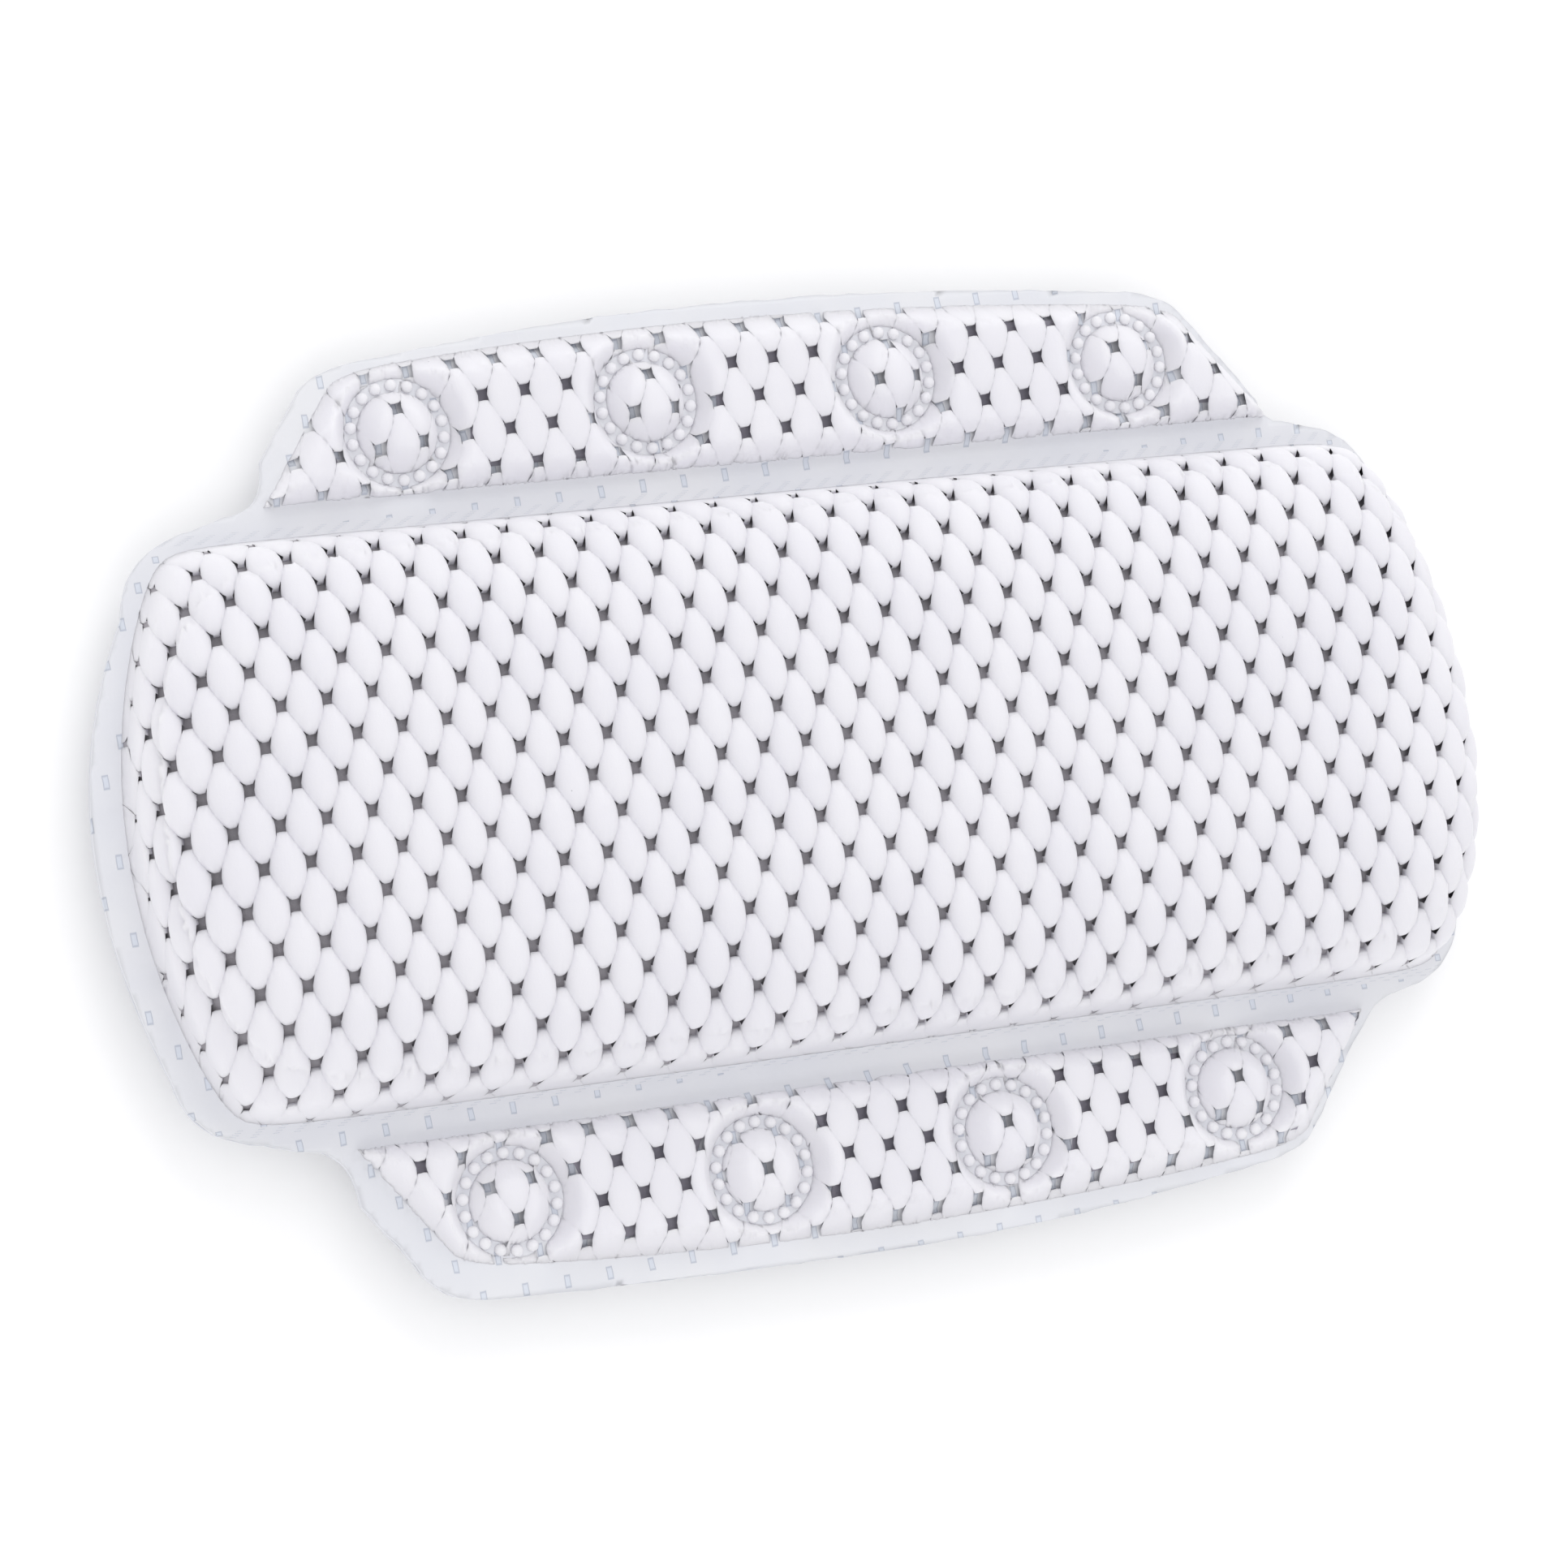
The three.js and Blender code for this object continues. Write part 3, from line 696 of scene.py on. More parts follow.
@dataclass
class PodSheet:
    """A sheet of pods with square drain holes, cut along an outline."""

    tile: PodTile
    cells: np.ndarray
    place: Callable[[np.ndarray, np.ndarray], Placed]
    closing: float = 0.0
    closing_share: float = 0.6
    flare: float = 1.1
    undercut: float = 0.25 * MM

    def make(self) -> bmesh.types.BMesh:
        """Lays the tiles, moves them onto the pillow, cuts the sheet and gives the holes their walls.

        Returns:
            The sheet.
        """
        tile, offsets, heights, on_hole = self.tile.make()
        bm = bmesh.new()
        for _ in self.cells:
            bm.from_mesh(tile)
        bpy.data.meshes.remove(tile)
        count, size = len(self.cells), len(offsets)
        i, j = np.repeat(self.cells[:, 0], size), np.repeat(self.cells[:, 1], size)
        x, y = self.tile.lattice.spots(i, j, np.tile(offsets[:, 0], count), np.tile(offsets[:, 1], count))
        placed = self.place(x, y)
        hole_i = i + np.tile(np.rint(offsets[:, 0] / (self.tile.lattice.pitch / 2)), count)
        hole_j = j + np.tile(np.rint(offsets[:, 1] / (self.tile.lattice.period / 2)), count)
        hole_x, hole_y = self.tile.lattice.spots(hole_i, hole_j, 0.0, 0.0)
        if self.closing > 0.0:
            near_edge = 1.0 - smooth_step(placed.inside, 0.0, self.closing)
            shut = np.tile(on_hole, count) * near_edge * self.closing_share
            x, y = x + (hole_x - x) * shut, y + (hole_y - y) * shut
            placed = self.place(x, y)
        wide_x, wide_y = hole_x + (x - hole_x) * self.flare, hole_y + (y - hole_y) * self.flare
        flare = self.place(wide_x, wide_y).base - placed.base
        flare *= self.undercut / np.maximum(np.linalg.norm(flare, axis=1), 1e-6)[:, None]
        raised = placed.lift * np.tile(heights, count)
        lifted = placed.base + placed.normal * raised[:, None]
        hole_layer = bm.verts.layers.float.new("hole")
        wall_layer = bm.verts.layers.float_vector.new("wall")
        outside = placed.inside <= 0.0
        walls = flare - placed.normal * (raised + placed.depth)[:, None]
        holes = (np.tile(on_hole, count) > 0.99) * ~outside
        for vert, co, hole, wall in zip(bm.verts, lifted, holes, walls):
            vert.co = co
            vert[hole_layer], vert[wall_layer] = hole, wall
        bm.verts.index_update()
        gone = [f for f in bm.faces if all(outside[v.index] for v in f.verts)]
        bmesh.ops.delete(bm, geom=gone, context="FACES")
        bmesh.ops.remove_doubles(bm, verts=bm.verts, dist=MERGE_DISTANCE)
        bmesh.ops.dissolve_degenerate(bm, edges=bm.edges, dist=MERGE_DISTANCE)
        self._sink_holes(bm, hole_layer, wall_layer)
        return bm

    @staticmethod
    def _sink_holes(
        bm: bmesh.types.BMesh,
        hole_layer: bmesh.types.BMLayerItem,
        wall_layer: bmesh.types.BMLayerItem,
    ) -> None:
        """Gives the edges of the drain holes their walls.

        Args:
            bm: The sheet.
            hole_layer: Layer that marks the vertices on a hole.
            wall_layer: Layer with the way down each wall.
        """
        edges = [e for e in bm.edges if e.is_boundary and all(v[hole_layer] > 0.5 for v in e.verts)]
        made = bmesh.ops.extrude_edge_only(bm, edges=edges)
        for vert in new_verts(made):
            vert.co += vert[wall_layer]


class Signal:
    """A shader value that adds, multiplies and compares like a number."""

    def __init__(self, graph: "Graph", socket: bpy.types.NodeSocket) -> None:
        """Keeps the graph and the socket that brings the value."""
        self.graph = graph
        self.socket = socket

    def _with(self, operation: str, *others: "Signal | float") -> "Signal":
        """One step of arithmetic on this value and others."""
        return self.graph.math(operation, self, *others)

    def __add__(self, other: "Signal | float") -> "Signal":
        """The sum."""
        return self._with("ADD", other)

    def __sub__(self, other: "Signal | float") -> "Signal":
        """This value less another."""
        return self._with("SUBTRACT", other)

    def __rsub__(self, other: float) -> "Signal":
        """A number less this value."""
        return self.graph.math("SUBTRACT", other, self)

    def __mul__(self, other: "Signal | float") -> "Signal":
        """The product."""
        return self._with("MULTIPLY", other)

    def __lt__(self, other: "Signal | float") -> "Signal":
        """1 where this value is the smaller."""
        return self._with("LESS_THAN", other)

    def floor(self) -> "Signal":
        """The whole number below."""
        return self._with("FLOOR")

    def size(self) -> "Signal":
        """The number without its sign."""
        return self._with("ABSOLUTE")

    def least(self, other: "Signal | float") -> "Signal":
        """The smaller of two."""
        return self._with("MINIMUM", other)

    def most(self, other: "Signal | float") -> "Signal":
        """The larger of two."""
        return self._with("MAXIMUM", other)

    def ramp(self, low: float, high: float) -> "Signal":
        """Eases from 0 at low to 1 at high.

        Args:
            low: Where the ramp starts.
            high: Where the ramp ends.

        Returns:
            The eased value.
        """
        node = self.graph.node(
            "ShaderNodeMapRange",
            {"interpolation_type": "SMOOTHSTEP"},
            {"Value": self, "From Min": low, "From Max": high},
        )
        return Signal(self.graph, node.outputs["Result"])


@dataclass
class Graph:
    """The node graph of one material."""

    material: bpy.types.Material

    @classmethod
    def named(cls, name: str) -> "Graph":
        """Starts an empty material.

        Args:
            name: Name of the material.

        Returns:
            Its graph.
        """
        material = bpy.data.materials.new(name)
        material.use_nodes = True
        material.node_tree.nodes.clear()
        return cls(material)

    def node(self, kind: str, settings: dict | None = None, inputs: dict | None = None) -> bpy.types.Node:
        """Makes a node, sets its settings, then its sockets' values or links.

        Args:
            kind: Node type.
            settings: Properties by name.
            inputs: Values, signals or sockets by input name or number.

        Returns:
            The node.
        """
        node = self.material.node_tree.nodes.new(kind)
        for key, value in (settings or {}).items():
            setattr(node, key, value)
        for key, value in (inputs or {}).items():
            if isinstance(value, Signal):
                value = value.socket
            if isinstance(value, bpy.types.NodeSocket):
                self.material.node_tree.links.new(value, node.inputs[key])
            else:
                node.inputs[key].default_value = value
        return node

    def math(self, operation: str, *values: Signal | float) -> Signal:
        """One step of arithmetic on signals and numbers."""
        node = self.node("ShaderNodeMath", {"operation": operation}, dict(enumerate(values)))
        return Signal(self, node.outputs[0])

    def place(self) -> bpy.types.NodeSocket:
        """Object coordinates, in metres."""
        return self.node("ShaderNodeTexCoord").outputs["Object"]

    def noise(self, size: float, detail: float = 2.0, roughness: float = 0.5) -> Signal:
        """Noise with features of a size in metres, from 0 to 1."""
        inputs = {"Vector": self.place(), "Scale": 1.0 / size, "Detail": detail, "Roughness": roughness}
        return Signal(self, self.node("ShaderNodeTexNoise", {}, inputs).outputs["Fac"])

    def cells(self, size: float) -> Signal:
        """Distance to the middle of the nearest cell of a size in metres, in cell sizes."""
        inputs = {"Vector": self.place(), "Scale": 1.0 / size}
        return Signal(self, self.node("ShaderNodeTexVoronoi", {}, inputs).outputs["Distance"])

    def blend(self, share: Signal, low: "Tone", high: "Tone") -> bpy.types.NodeSocket:
        """Mixes two colours."""
        inputs = {0: share, 6: opaque(low), 7: opaque(high)}
        return self.node("ShaderNodeMix", {"data_type": "RGBA"}, inputs).outputs[2]

    def bump(self, height: Signal, distance: float, strength: float = 1.0) -> bpy.types.NodeSocket:
        """A normal that follows a height."""
        inputs = {"Height": height, "Distance": distance, "Strength": strength}
        return self.node("ShaderNodeBump", {}, inputs).outputs["Normal"]

    def surface(self, inputs: dict) -> bpy.types.Material:
        """Ends the graph with a principled shader.

        Args:
            inputs: The shader's inputs by name.

        Returns:
            The material.
        """
        shader = self.node("ShaderNodeBsdfPrincipled", {}, inputs)
        self.node("ShaderNodeOutputMaterial", {}, {"Surface": shader.outputs[0]})
        return self.material


Colour = tuple[float, float, float]
Tone = Colour | bpy.types.NodeSocket


def opaque(colour: Tone) -> tuple[float, ...] | bpy.types.NodeSocket:
    """A colour with its alpha, or the socket that brings it."""
    return (*colour, 1.0) if isinstance(colour, tuple) else colour


@dataclass(frozen=True)
class Finish:
    """How a foam or film surface looks."""

    colour: Colour
    shade: Colour
    roughness: float
    grain: float
    grain_depth: float
    depth_share: float = 0.0
    drift: float = 25 * MM


class Palette(Enum):
    """The pillow's finishes."""

    POD = Finish((0.825, 0.817, 0.85), (0.805, 0.797, 0.835), 0.62, 0.45 * MM, 0.05 * MM, 0.8)
    FILM = Finish((0.76, 0.77, 0.81), (0.80, 0.805, 0.83), 0.42, 0.9 * MM, 0.04 * MM)
    BACK = Finish((0.72, 0.73, 0.77), (0.68, 0.69, 0.74), 0.5, 0.7 * MM, 0.05 * MM)
    CORE = Finish((0.47, 0.45, 0.48), (0.40, 0.385, 0.41), 0.95, 0.6 * MM, 0.2 * MM)
    PAD = Finish((0.41, 0.39, 0.45), (0.35, 0.335, 0.39), 0.95, 0.6 * MM, 0.2 * MM)


class Tint(Enum):
    """Single colours of the pillow's details and the floor."""

    SPECK = (0.25, 0.25, 0.27)
    WINDOW = (0.58, 0.66, 0.79)
    WINDOW_EDGE = (0.36, 0.41, 0.52)
    CLEAR = (0.93, 0.96, 0.98)
    CLEAR_SHADE = (0.86, 0.91, 0.95)
    FLOOR = (0.93, 0.93, 0.93)
    FLOOR_PALE = (0.94, 0.94, 0.94)


def foam_material(name: str, finish: Finish) -> bpy.types.Material:
    """Matt foam with a fine grain and a faint drift of tone.

    Args:
        name: Name of the material.
        finish: Its colours and grain.

    Returns:
        The material.
    """
    graph = Graph.named(name)
    drift = graph.noise(finish.drift, 3.0).ramp(0.35, 0.65)
    grain = graph.noise(finish.grain, 4.0, 0.6)
    speck = (graph.cells(14 * MM) < 0.011) * 0.5
    tone = graph.blend(drift, finish.colour, finish.shade)
    colour = graph.blend(speck, tone, Tint.SPECK.value)
    normal = graph.bump(grain, finish.grain_depth, 0.6)
    return graph.surface(
        {
            "Base Color": colour,
            "Roughness": finish.roughness,
            "Specular IOR Level": 0.3,
            "Subsurface Weight": finish.depth_share,
            "Subsurface Radius": (1.0, 1.0, 1.0),
            "Subsurface Scale": 2.5 * MM,
            "Normal": normal,
        }
    )


def film_material(
    name: str, finish: Finish, lattice: Lattice, window: tuple[float, float]
) -> bpy.types.Material:
    """The flat welded film, with the flattened drain holes as faint pale windows.

    Args:
        name: Name of the material.
        finish: Its colours and grain.
        lattice: Pattern of the holes.
        window: Half width and half height of a flattened hole.

    Returns:
        The material.
    """
    graph = Graph.named(name)
    uv = graph.node("ShaderNodeUVMap", {"uv_map": "lattice"}).outputs["UV"]
    split = graph.node("ShaderNodeSeparateXYZ", {}, {"Vector": uv})
    wobble = (graph.noise(6 * MM, 2.0) - 0.5) * 0.06
    i, j = Signal(graph, split.outputs["X"]) + wobble, Signal(graph, split.outputs["Y"]) + wobble

    def reach(shift: float) -> Signal:
        """Distance from the middle of the nearest hole of one of the two staggered sets, 1 on its edge.

        Args:
            shift: Where the set lies in the lattice's period.

        Returns:
            The distance.
        """
        across = (i + shift - (i + (shift + 0.5)).floor()).size() * (lattice.pitch / window[0])
        along = (j + shift - (j + (shift + 0.5)).floor()).size() * (lattice.period / window[1])
        return across.most(along)

    edge = reach(0.0).least(reach(0.5))
    inside = 1.0 - edge.ramp(0.75, 0.95)
    line = (edge - 1.0).size().ramp(0.0, 0.28)
    drift = graph.noise(finish.drift, 3.0).ramp(0.3, 0.7)
    wrinkle = graph.noise(3 * MM, 5.0, 0.55)
    tone = graph.blend(drift, finish.colour, finish.shade)
    paned = graph.blend(inside * 0.4, tone, Tint.WINDOW.value)
    colour = graph.blend((1.0 - line) * 0.6, paned, Tint.WINDOW_EDGE.value)
    normal = graph.bump(wrinkle + line * 0.6, 0.25 * MM, 0.5)
    return graph.surface(
        {"Base Color": colour, "Roughness": finish.roughness, "Normal": normal, "Specular IOR Level": 0.4}
    )


def cup_material(name: str) -> bpy.types.Material:
    """Clear soft plastic with faint flow marks.

    Args:
        name: Name of the material.

    Returns:
        The material.
    """
    graph = Graph.named(name)
    flow = graph.noise(5 * MM, 2.0)
    colour = graph.blend(flow.ramp(0.3, 0.7), Tint.CLEAR.value, Tint.CLEAR_SHADE.value)
    normal = graph.bump(flow, 0.1 * MM, 0.3)
    return graph.surface(
        {"Base Color": colour, "Roughness": 0.12, "IOR": 1.53, "Transmission Weight": 0.85, "Normal": normal}
    )


def floor_material() -> bpy.types.Material:
    """Plain pale studio floor.

    Returns:
        The material.
    """
    graph = Graph.named("studio_floor")
    drift = graph.noise(400 * MM).ramp(0.3, 0.7)
    tone = graph.blend(drift, Tint.FLOOR.value, Tint.FLOOR_PALE.value)
    return graph.surface(
        {
            "Base Color": tone,
            "Roughness": 0.9,
            "Specular IOR Level": 0.1,
            "Emission Color": (1.0, 1.0, 1.0, 1.0),
            "Emission Strength": 0.12,
        }
    )


def finished(
    name: str,
    bm: bmesh.types.BMesh,
    material: bpy.types.Material,
    nodes: Iterable[str] = (),
) -> bpy.types.Object:
    """Turns a bmesh into a piece of the pillow.

    Args:
        name: Name of the piece.
        bm: Its shape, freed here.
        material: Its material.
        nodes: CAD nodes that it stands for.

    Returns:
        The object, riding on the pillow.
    """
    for face in bm.faces:
        face.smooth = True
    mesh = bpy.data.meshes.new(name)
    bm.to_mesh(mesh)
    bm.free()
    mesh.materials.append(material)
    piece = bpy.data.objects.new(name, mesh)
    bpy.context.scene.collection.objects.link(piece)
    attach(piece, PILLOW_BODY)
    if nodes:
        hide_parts(*nodes)
    log.info("%s: %d faces", name, len(mesh.polygons))
    return piece


def subdivide(piece: bpy.types.Object, levels: int = 1) -> None:
    """Adds a subdivision surface with the same level in the view and in the render."""
    modifier = piece.modifiers.new("smooth", "SUBSURF")
    modifier.levels = modifier.render_levels = levels


@dataclass
class MeshCover:
    """The front sheet: pods over the bolster and the flaps, and the flat welded film round them."""

    plan: Plan
    pitch: float = 9.8 * MM
    period: float = 16.7 * MM
    turn: float = 0.045
    hole_width: float = 2.1 * MM
    hole_height: float = 2.65 * MM
    pod_height: float = 4.0 * MM
    flap_pod_height: float = 2.2 * MM
    flap_spread: float = 1.12
    end_calm: float = 0.2
    left_calm: float = 0.2
    inner_shoulder: float = 2.6 * MM
    outer_shoulder: float = 7.0 * MM
    seam_closing: float = 4.0 * MM
    end_fade: float = 4.0 * MM
    side_fade: float = 2.6 * MM
    seam_sink: float = 0.35 * MM
    foot: float = 2.4 * MM
    droop: float = 1.3 * MM
    film_gap: float = 1.1 * MM
    sheet_depth: float = 0.4 * MM
    film_spacing: float = 2 * MM
    trim_pace: float = 260.0
    trim_size: float = 0.45
    wave_pace: float = 38.0
    wave_size: float = 0.9
    film_sink: float = 0.25 * MM
    hidden_inset: float = 1.5 * MM
    dots: int = 18
    dot_radius: float = 1.5 * MM
    dot_squash: float = 0.9
    overlap: float = 6 * MM
    end_overlap: float = 18 * MM
    droop_along: tuple[float, float] = (50 * MM, 150 * MM)
    droop_across: tuple[float, float] = (0.0, 50 * MM)
    flap_droop_along: tuple[float, float] = (76 * MM, 104 * MM)
    side_middle: float = -4 * MM
    side_span: tuple[float, float] = (42 * MM, 60 * MM)
    left_span: tuple[float, float] = (90 * MM, 150 * MM)
    calm_span: tuple[float, float] = (4 * MM, 22 * MM)
    depth_span: tuple[float, float] = (-1 * MM, 4 * MM)
    edge_depth: float = 0.2 * MM
    flap_fade: tuple[float, float] = (0.3 * MM, 5 * MM)
    flap_depth: float = 0.05 * MM
    near_seam_share: float = 0.4
    pad_overlap: float = 0.5 * MM
    dome_power: float = 0.6
    dome_rise: float = 1.08
    weld_slope: tuple[float, float] = (-0.6 * MM, 3.4 * MM)
    free_span: tuple[float, float] = (1.0 * MM, 6 * MM)

    @property
    def bolster_lattice(self) -> Lattice:
        """The pattern over the bolster, laid out from the crown's middle."""
        return Lattice(self.pitch, self.period, self.turn, (2.5 * MM, -3.8 * MM))

    def flap_lattice(self, flap: Flap) -> Lattice:
        """The pattern over a flap, as it lies flat.

        Args:
            flap: Which flap.

        Returns:
            The pattern.
        """
        if flap is Flap.UPPER:
            return Lattice(9.73 * MM, 15.94 * MM, self.turn, (0.8 * MM, 91.6 * MM))
        return Lattice(9.53 * MM, 15.46 * MM, self.turn, (-1.0 * MM, -68.7 * MM))

    def build(self) -> list[bpy.types.Object]:
        """Builds the pieces of the front sheet.

        Returns:
            The pieces.
        """
        foam = foam_material("moulded_foam", Palette.POD.value)
        pieces = [self._bolster(foam)]
        pieces += [self._flap(flap, foam) for flap in Flap]
        pieces += [self._weld_dots(flap, foam) for flap in Flap]
        pieces.append(self._film())
        return pieces

    def _bolster(self, foam: bpy.types.Material) -> bpy.types.Object:
        """The pods over the bolster.

        Args:
            foam: Material of the pods.

        Returns:
            The piece.
        """
        loaf = self.plan.bolster
        seam = loaf.seam()
        lengths, across = loaf.unrolled()
        reach = lengths[-1]

        def place(x: np.ndarray, s: np.ndarray) -> Placed:
            """Bends places of the flat-laid sheet over the loaf.

            Args:
                x: Places along the flat sheet.
                s: Places across it, from the middle line.

            Returns:
                Where they come to lie.
            """
            s = s - self.droop * smooth_step(-x, *self.droop_along) * smooth_step(s, *self.droop_across)
            past = np.maximum(np.abs(s) - reach, 0.0)
            y = np.sign(s) * (np.interp(np.abs(s), lengths, across) + past)
            x = loaf.gathered(x, y)
            inside = np.full_like(x, loaf.half_width)
            close = loaf.share(x, y) < self.near_seam_share
            inside[close], near = seam.measure(x[close], y[close])
            out = inside <= 0.0
            x[out], y[out] = near[out[close]].T
            normal = loaf.normal(x * 0.9999, y * 0.9999)
            z = loaf.base + (loaf.height(x, y) - loaf.base) * smooth_step(inside, -0.2 * self.foot, self.foot)
            z -= self.seam_sink * (1 - smooth_step(inside, 0.0, self.foot))
            aside = smooth_step(np.abs(y - self.side_middle), *self.side_span)
            fade = self.end_fade + self.side_fade * aside
            lift = smooth_step(inside / fade, 0.0, 1.0)
            calm = self.end_calm + self.left_calm * smooth_step(-x, *self.left_span)
            lift *= 1.0 - calm * (1.0 - smooth_step(inside, *self.calm_span))
            depth = self.sheet_depth * smooth_step(inside, *self.depth_span) + self.edge_depth
            return Placed(np.stack([x, y, z], axis=-1), normal, lift, inside, depth)

        far, wide = loaf.half_length + self.end_overlap, reach + self.overlap
        cells = self.bolster_lattice.cells((-far, -wide), (far, wide))
        tile = PodTile(self.bolster_lattice, self.hole_width, self.hole_height, self.pod_height)
        sheet = PodSheet(tile, cells, place, self.seam_closing).make()
        piece = finished("mesh_bolster", sheet, foam, ["front_mesh_cover"])
        return piece

    def _flap_form(self, flap: Flap, x: np.ndarray, y: np.ndarray) -> tuple[np.ndarray, ...]:
        """Presses places on a flap out of its round welds and finds how high the sheet lies there.

        Args:
            flap: Which flap.
            x: Places along X, inside the flap's outline.
            y: Places along Y.

        Returns:
            The new places along X and Y, their distances from the nearest weld, negative outside the
            flap, the sheet's heights, and the heights of what lies below it.
        """
        plan = self.plan
        inside = plan.flap_outline(flap).measure(x, y)[0]
        over_pad = plan.flap_outline(flap, plan.pad_inset).measure(x, y)[0] > -self.pad_overlap
        across = smooth_step(flap.value * y, plan.flap_inner_y, plan.flap_outer_y)
        shoulder = self.inner_shoulder + (self.outer_shoulder - self.inner_shoulder) * across
        share = np.clip(inside / shoulder, 0.0, 1.0)
        puff = (1.0 - across) * np.sqrt(1.0 - (1.0 - share) ** 2) + across * smooth_step(share, 0.0, 1.0)
        weld = (plan.ring_inner + plan.ring_outer) / 2
        for cx, cy in plan.ring_centres(flap):
            radius = np.maximum(np.hypot(x - cx, y - cy), 1e-6)
            over_pad &= radius > plan.ring_outer + plan.ring_clearance - self.pad_overlap
            gap = np.abs(radius - weld) - (plan.ring_outer - plan.ring_inner) / 2
            circle = np.where(radius < weld, plan.ring_inner, plan.ring_outer)
            scale = np.where(gap < 0.0, circle / radius, 1.0)
            x, y = cx + (x - cx) * scale, cy + (y - cy) * scale
            inside = np.minimum(inside, gap)
            dome = np.clip(1.0 - (radius / plan.ring_inner) ** 2, 0.0, 1.0) ** self.dome_power
            slope = puff * smooth_step(gap, *self.weld_slope)
            puff = np.where(radius < weld, dome * self.dome_rise, slope)
        z = plan.weld_top + puff * plan.flap_rise
        below = plan.weld_top - self.film_sink + np.maximum(z - plan.weld_top - self.film_gap, 0.0)
        return x, y, inside, z - self.seam_sink * (inside <= 0.0), np.where(over_pad, plan.pad_top, below)

    def _flap(self, flap: Flap, foam: bpy.types.Material) -> bpy.types.Object:
        """The pods over a flap.

        Args:
            flap: Which flap.
            foam: Material of the pods.

        Returns:
            The piece.
        """
        plan = self.plan
        outline = plan.flap_outline(flap)

        def place(x: np.ndarray, y: np.ndarray) -> Placed:
            """Presses places of the flat-laid sheet onto the flap.

            Args:
                x: Places along X.
                y: Places along Y.

            Returns:
                Where they come to lie.
            """
            y = y - self.droop * smooth_step(-x, *self.flap_droop_along)
            edge, near = outline.measure(x, y)
            out = edge <= 0.0
            x, y = np.where(out, near[:, 0], x), np.where(out, near[:, 1], y)
            x, y, inside, z, below = self._flap_form(flap, x, y)
            inside[out] = edge[out]
            lift = smooth_step(inside, *self.flap_fade)
            normal = np.tile([0.0, 0.0, 1.0], (len(x), 1))
            depth = np.maximum(z - below, 0.0) + self.flap_depth
            return Placed(np.stack([x, y, z], axis=-1), normal, lift, inside, depth)

        low_y, high_y = sorted([flap.value * plan.flap_inner_y, flap.value * plan.flap_outer_y])
        far = plan.flap_inner_half + self.overlap
        cells = self.flap_lattice(flap).cells((-far, low_y - self.overlap), (far, high_y + self.overlap))
        tile = PodTile(
            self.flap_lattice(flap),
            self.hole_width,
            self.hole_height,
            self.flap_pod_height,
            spread=self.flap_spread,
            rings=(1.0, 0.96, 0.88, 0.76, 0.6, 0.42, 0.22),
            valley_shares=(0.0, 0.12, 0.3, 0.5, 0.7, 0.88),
        )
        name = f"mesh_{flap.label}_flap"
        piece = finished(name, PodSheet(tile, cells, place).make(), foam)
        return piece

    def _weld_dots(self, flap: Flap, foam: bpy.types.Material) -> bpy.types.Object:
        """The rings of small domes on a flap's round welds.

        Args:
            flap: Which flap.
            foam: Material of the domes.

        Returns:
            The piece.
        """
        plan = self.plan
        bm = bmesh.new()
        radius = (plan.ring_inner + plan.ring_outer) / 2
        for cx, cy in plan.ring_centres(flap):
            for k in range(self.dots):
                angle = (k + 0.5) * math.tau / self.dots
                spot = Vector((cx + radius * math.cos(angle), cy + radius * math.sin(angle), plan.weld_top))
                place = Matrix.Translation(spot) @ Matrix.Diagonal((1.0, 1.0, self.dot_squash, 1.0))
                bmesh.ops.create_uvsphere(
                    bm, u_segments=10, v_segments=6, radius=self.dot_radius, matrix=place
                )
        name = f"weld_dots_{flap.label}"
        piece = finished(name, bm, foam)
        subdivide(piece)
        return piece

    def _film(self) -> bpy.types.Object:
        """The flat welded part of the front sheet.

        Returns:
            The piece.
        """
        plan = self.plan
        bm, flat, out = outlined_grid(plan.sheet_outline(), self.film_spacing)
        for vert, (x, y), gone in zip(bm.verts, flat, out):
            rough = noise.noise(Vector((x, y, 0.0)) * self.trim_pace) * self.trim_size * MM if gone else 0.0
            vert.co = (x, y + rough, plan.weld_top)
        cut_outside(bm, out, MERGE_DISTANCE)
        self._wave(bm)
        self._open_under_fillings(bm)
        self._lay_lattice(bm)
        rim = [e for e in bm.edges if e.is_boundary]
        made = bmesh.ops.extrude_edge_only(bm, edges=rim)
        for vert in new_verts(made):
            vert.co.z -= plan.weld_top - plan.back_top - 0.1 * MM
        film = film_material("welded_film", Palette.FILM.value, self.bolster_lattice, (0.6 * MM, 1.35 * MM))
        piece = finished("mesh_weld_film", bm, film)
        return piece

    def _open_under_fillings(self, bm: bmesh.types.BMesh) -> None:
        """Takes away the film under the fillings.

        Args:
            bm: The film.
        """
        plan = self.plan
        x, y = np.array([v.co[:2] for v in bm.verts]).T
        hidden = plan.bolster.seam().measure(x, y)[0] > self.hidden_inset
        for flap in Flap:
            covered = plan.flap_outline(flap, plan.pad_inset).measure(x, y)[0] > self.hidden_inset
            clear = plan.ring_outer + plan.ring_clearance + self.hidden_inset
            for cx, cy in plan.ring_centres(flap):
                covered &= np.hypot(x - cx, y - cy) > clear
            hidden |= covered
        bm.verts.index_update()
        unseen = [f for f in bm.faces if all(hidden[v.index] for v in f.verts)]
        bmesh.ops.delete(bm, geom=unseen, context="FACES")
        bm.verts.index_update()

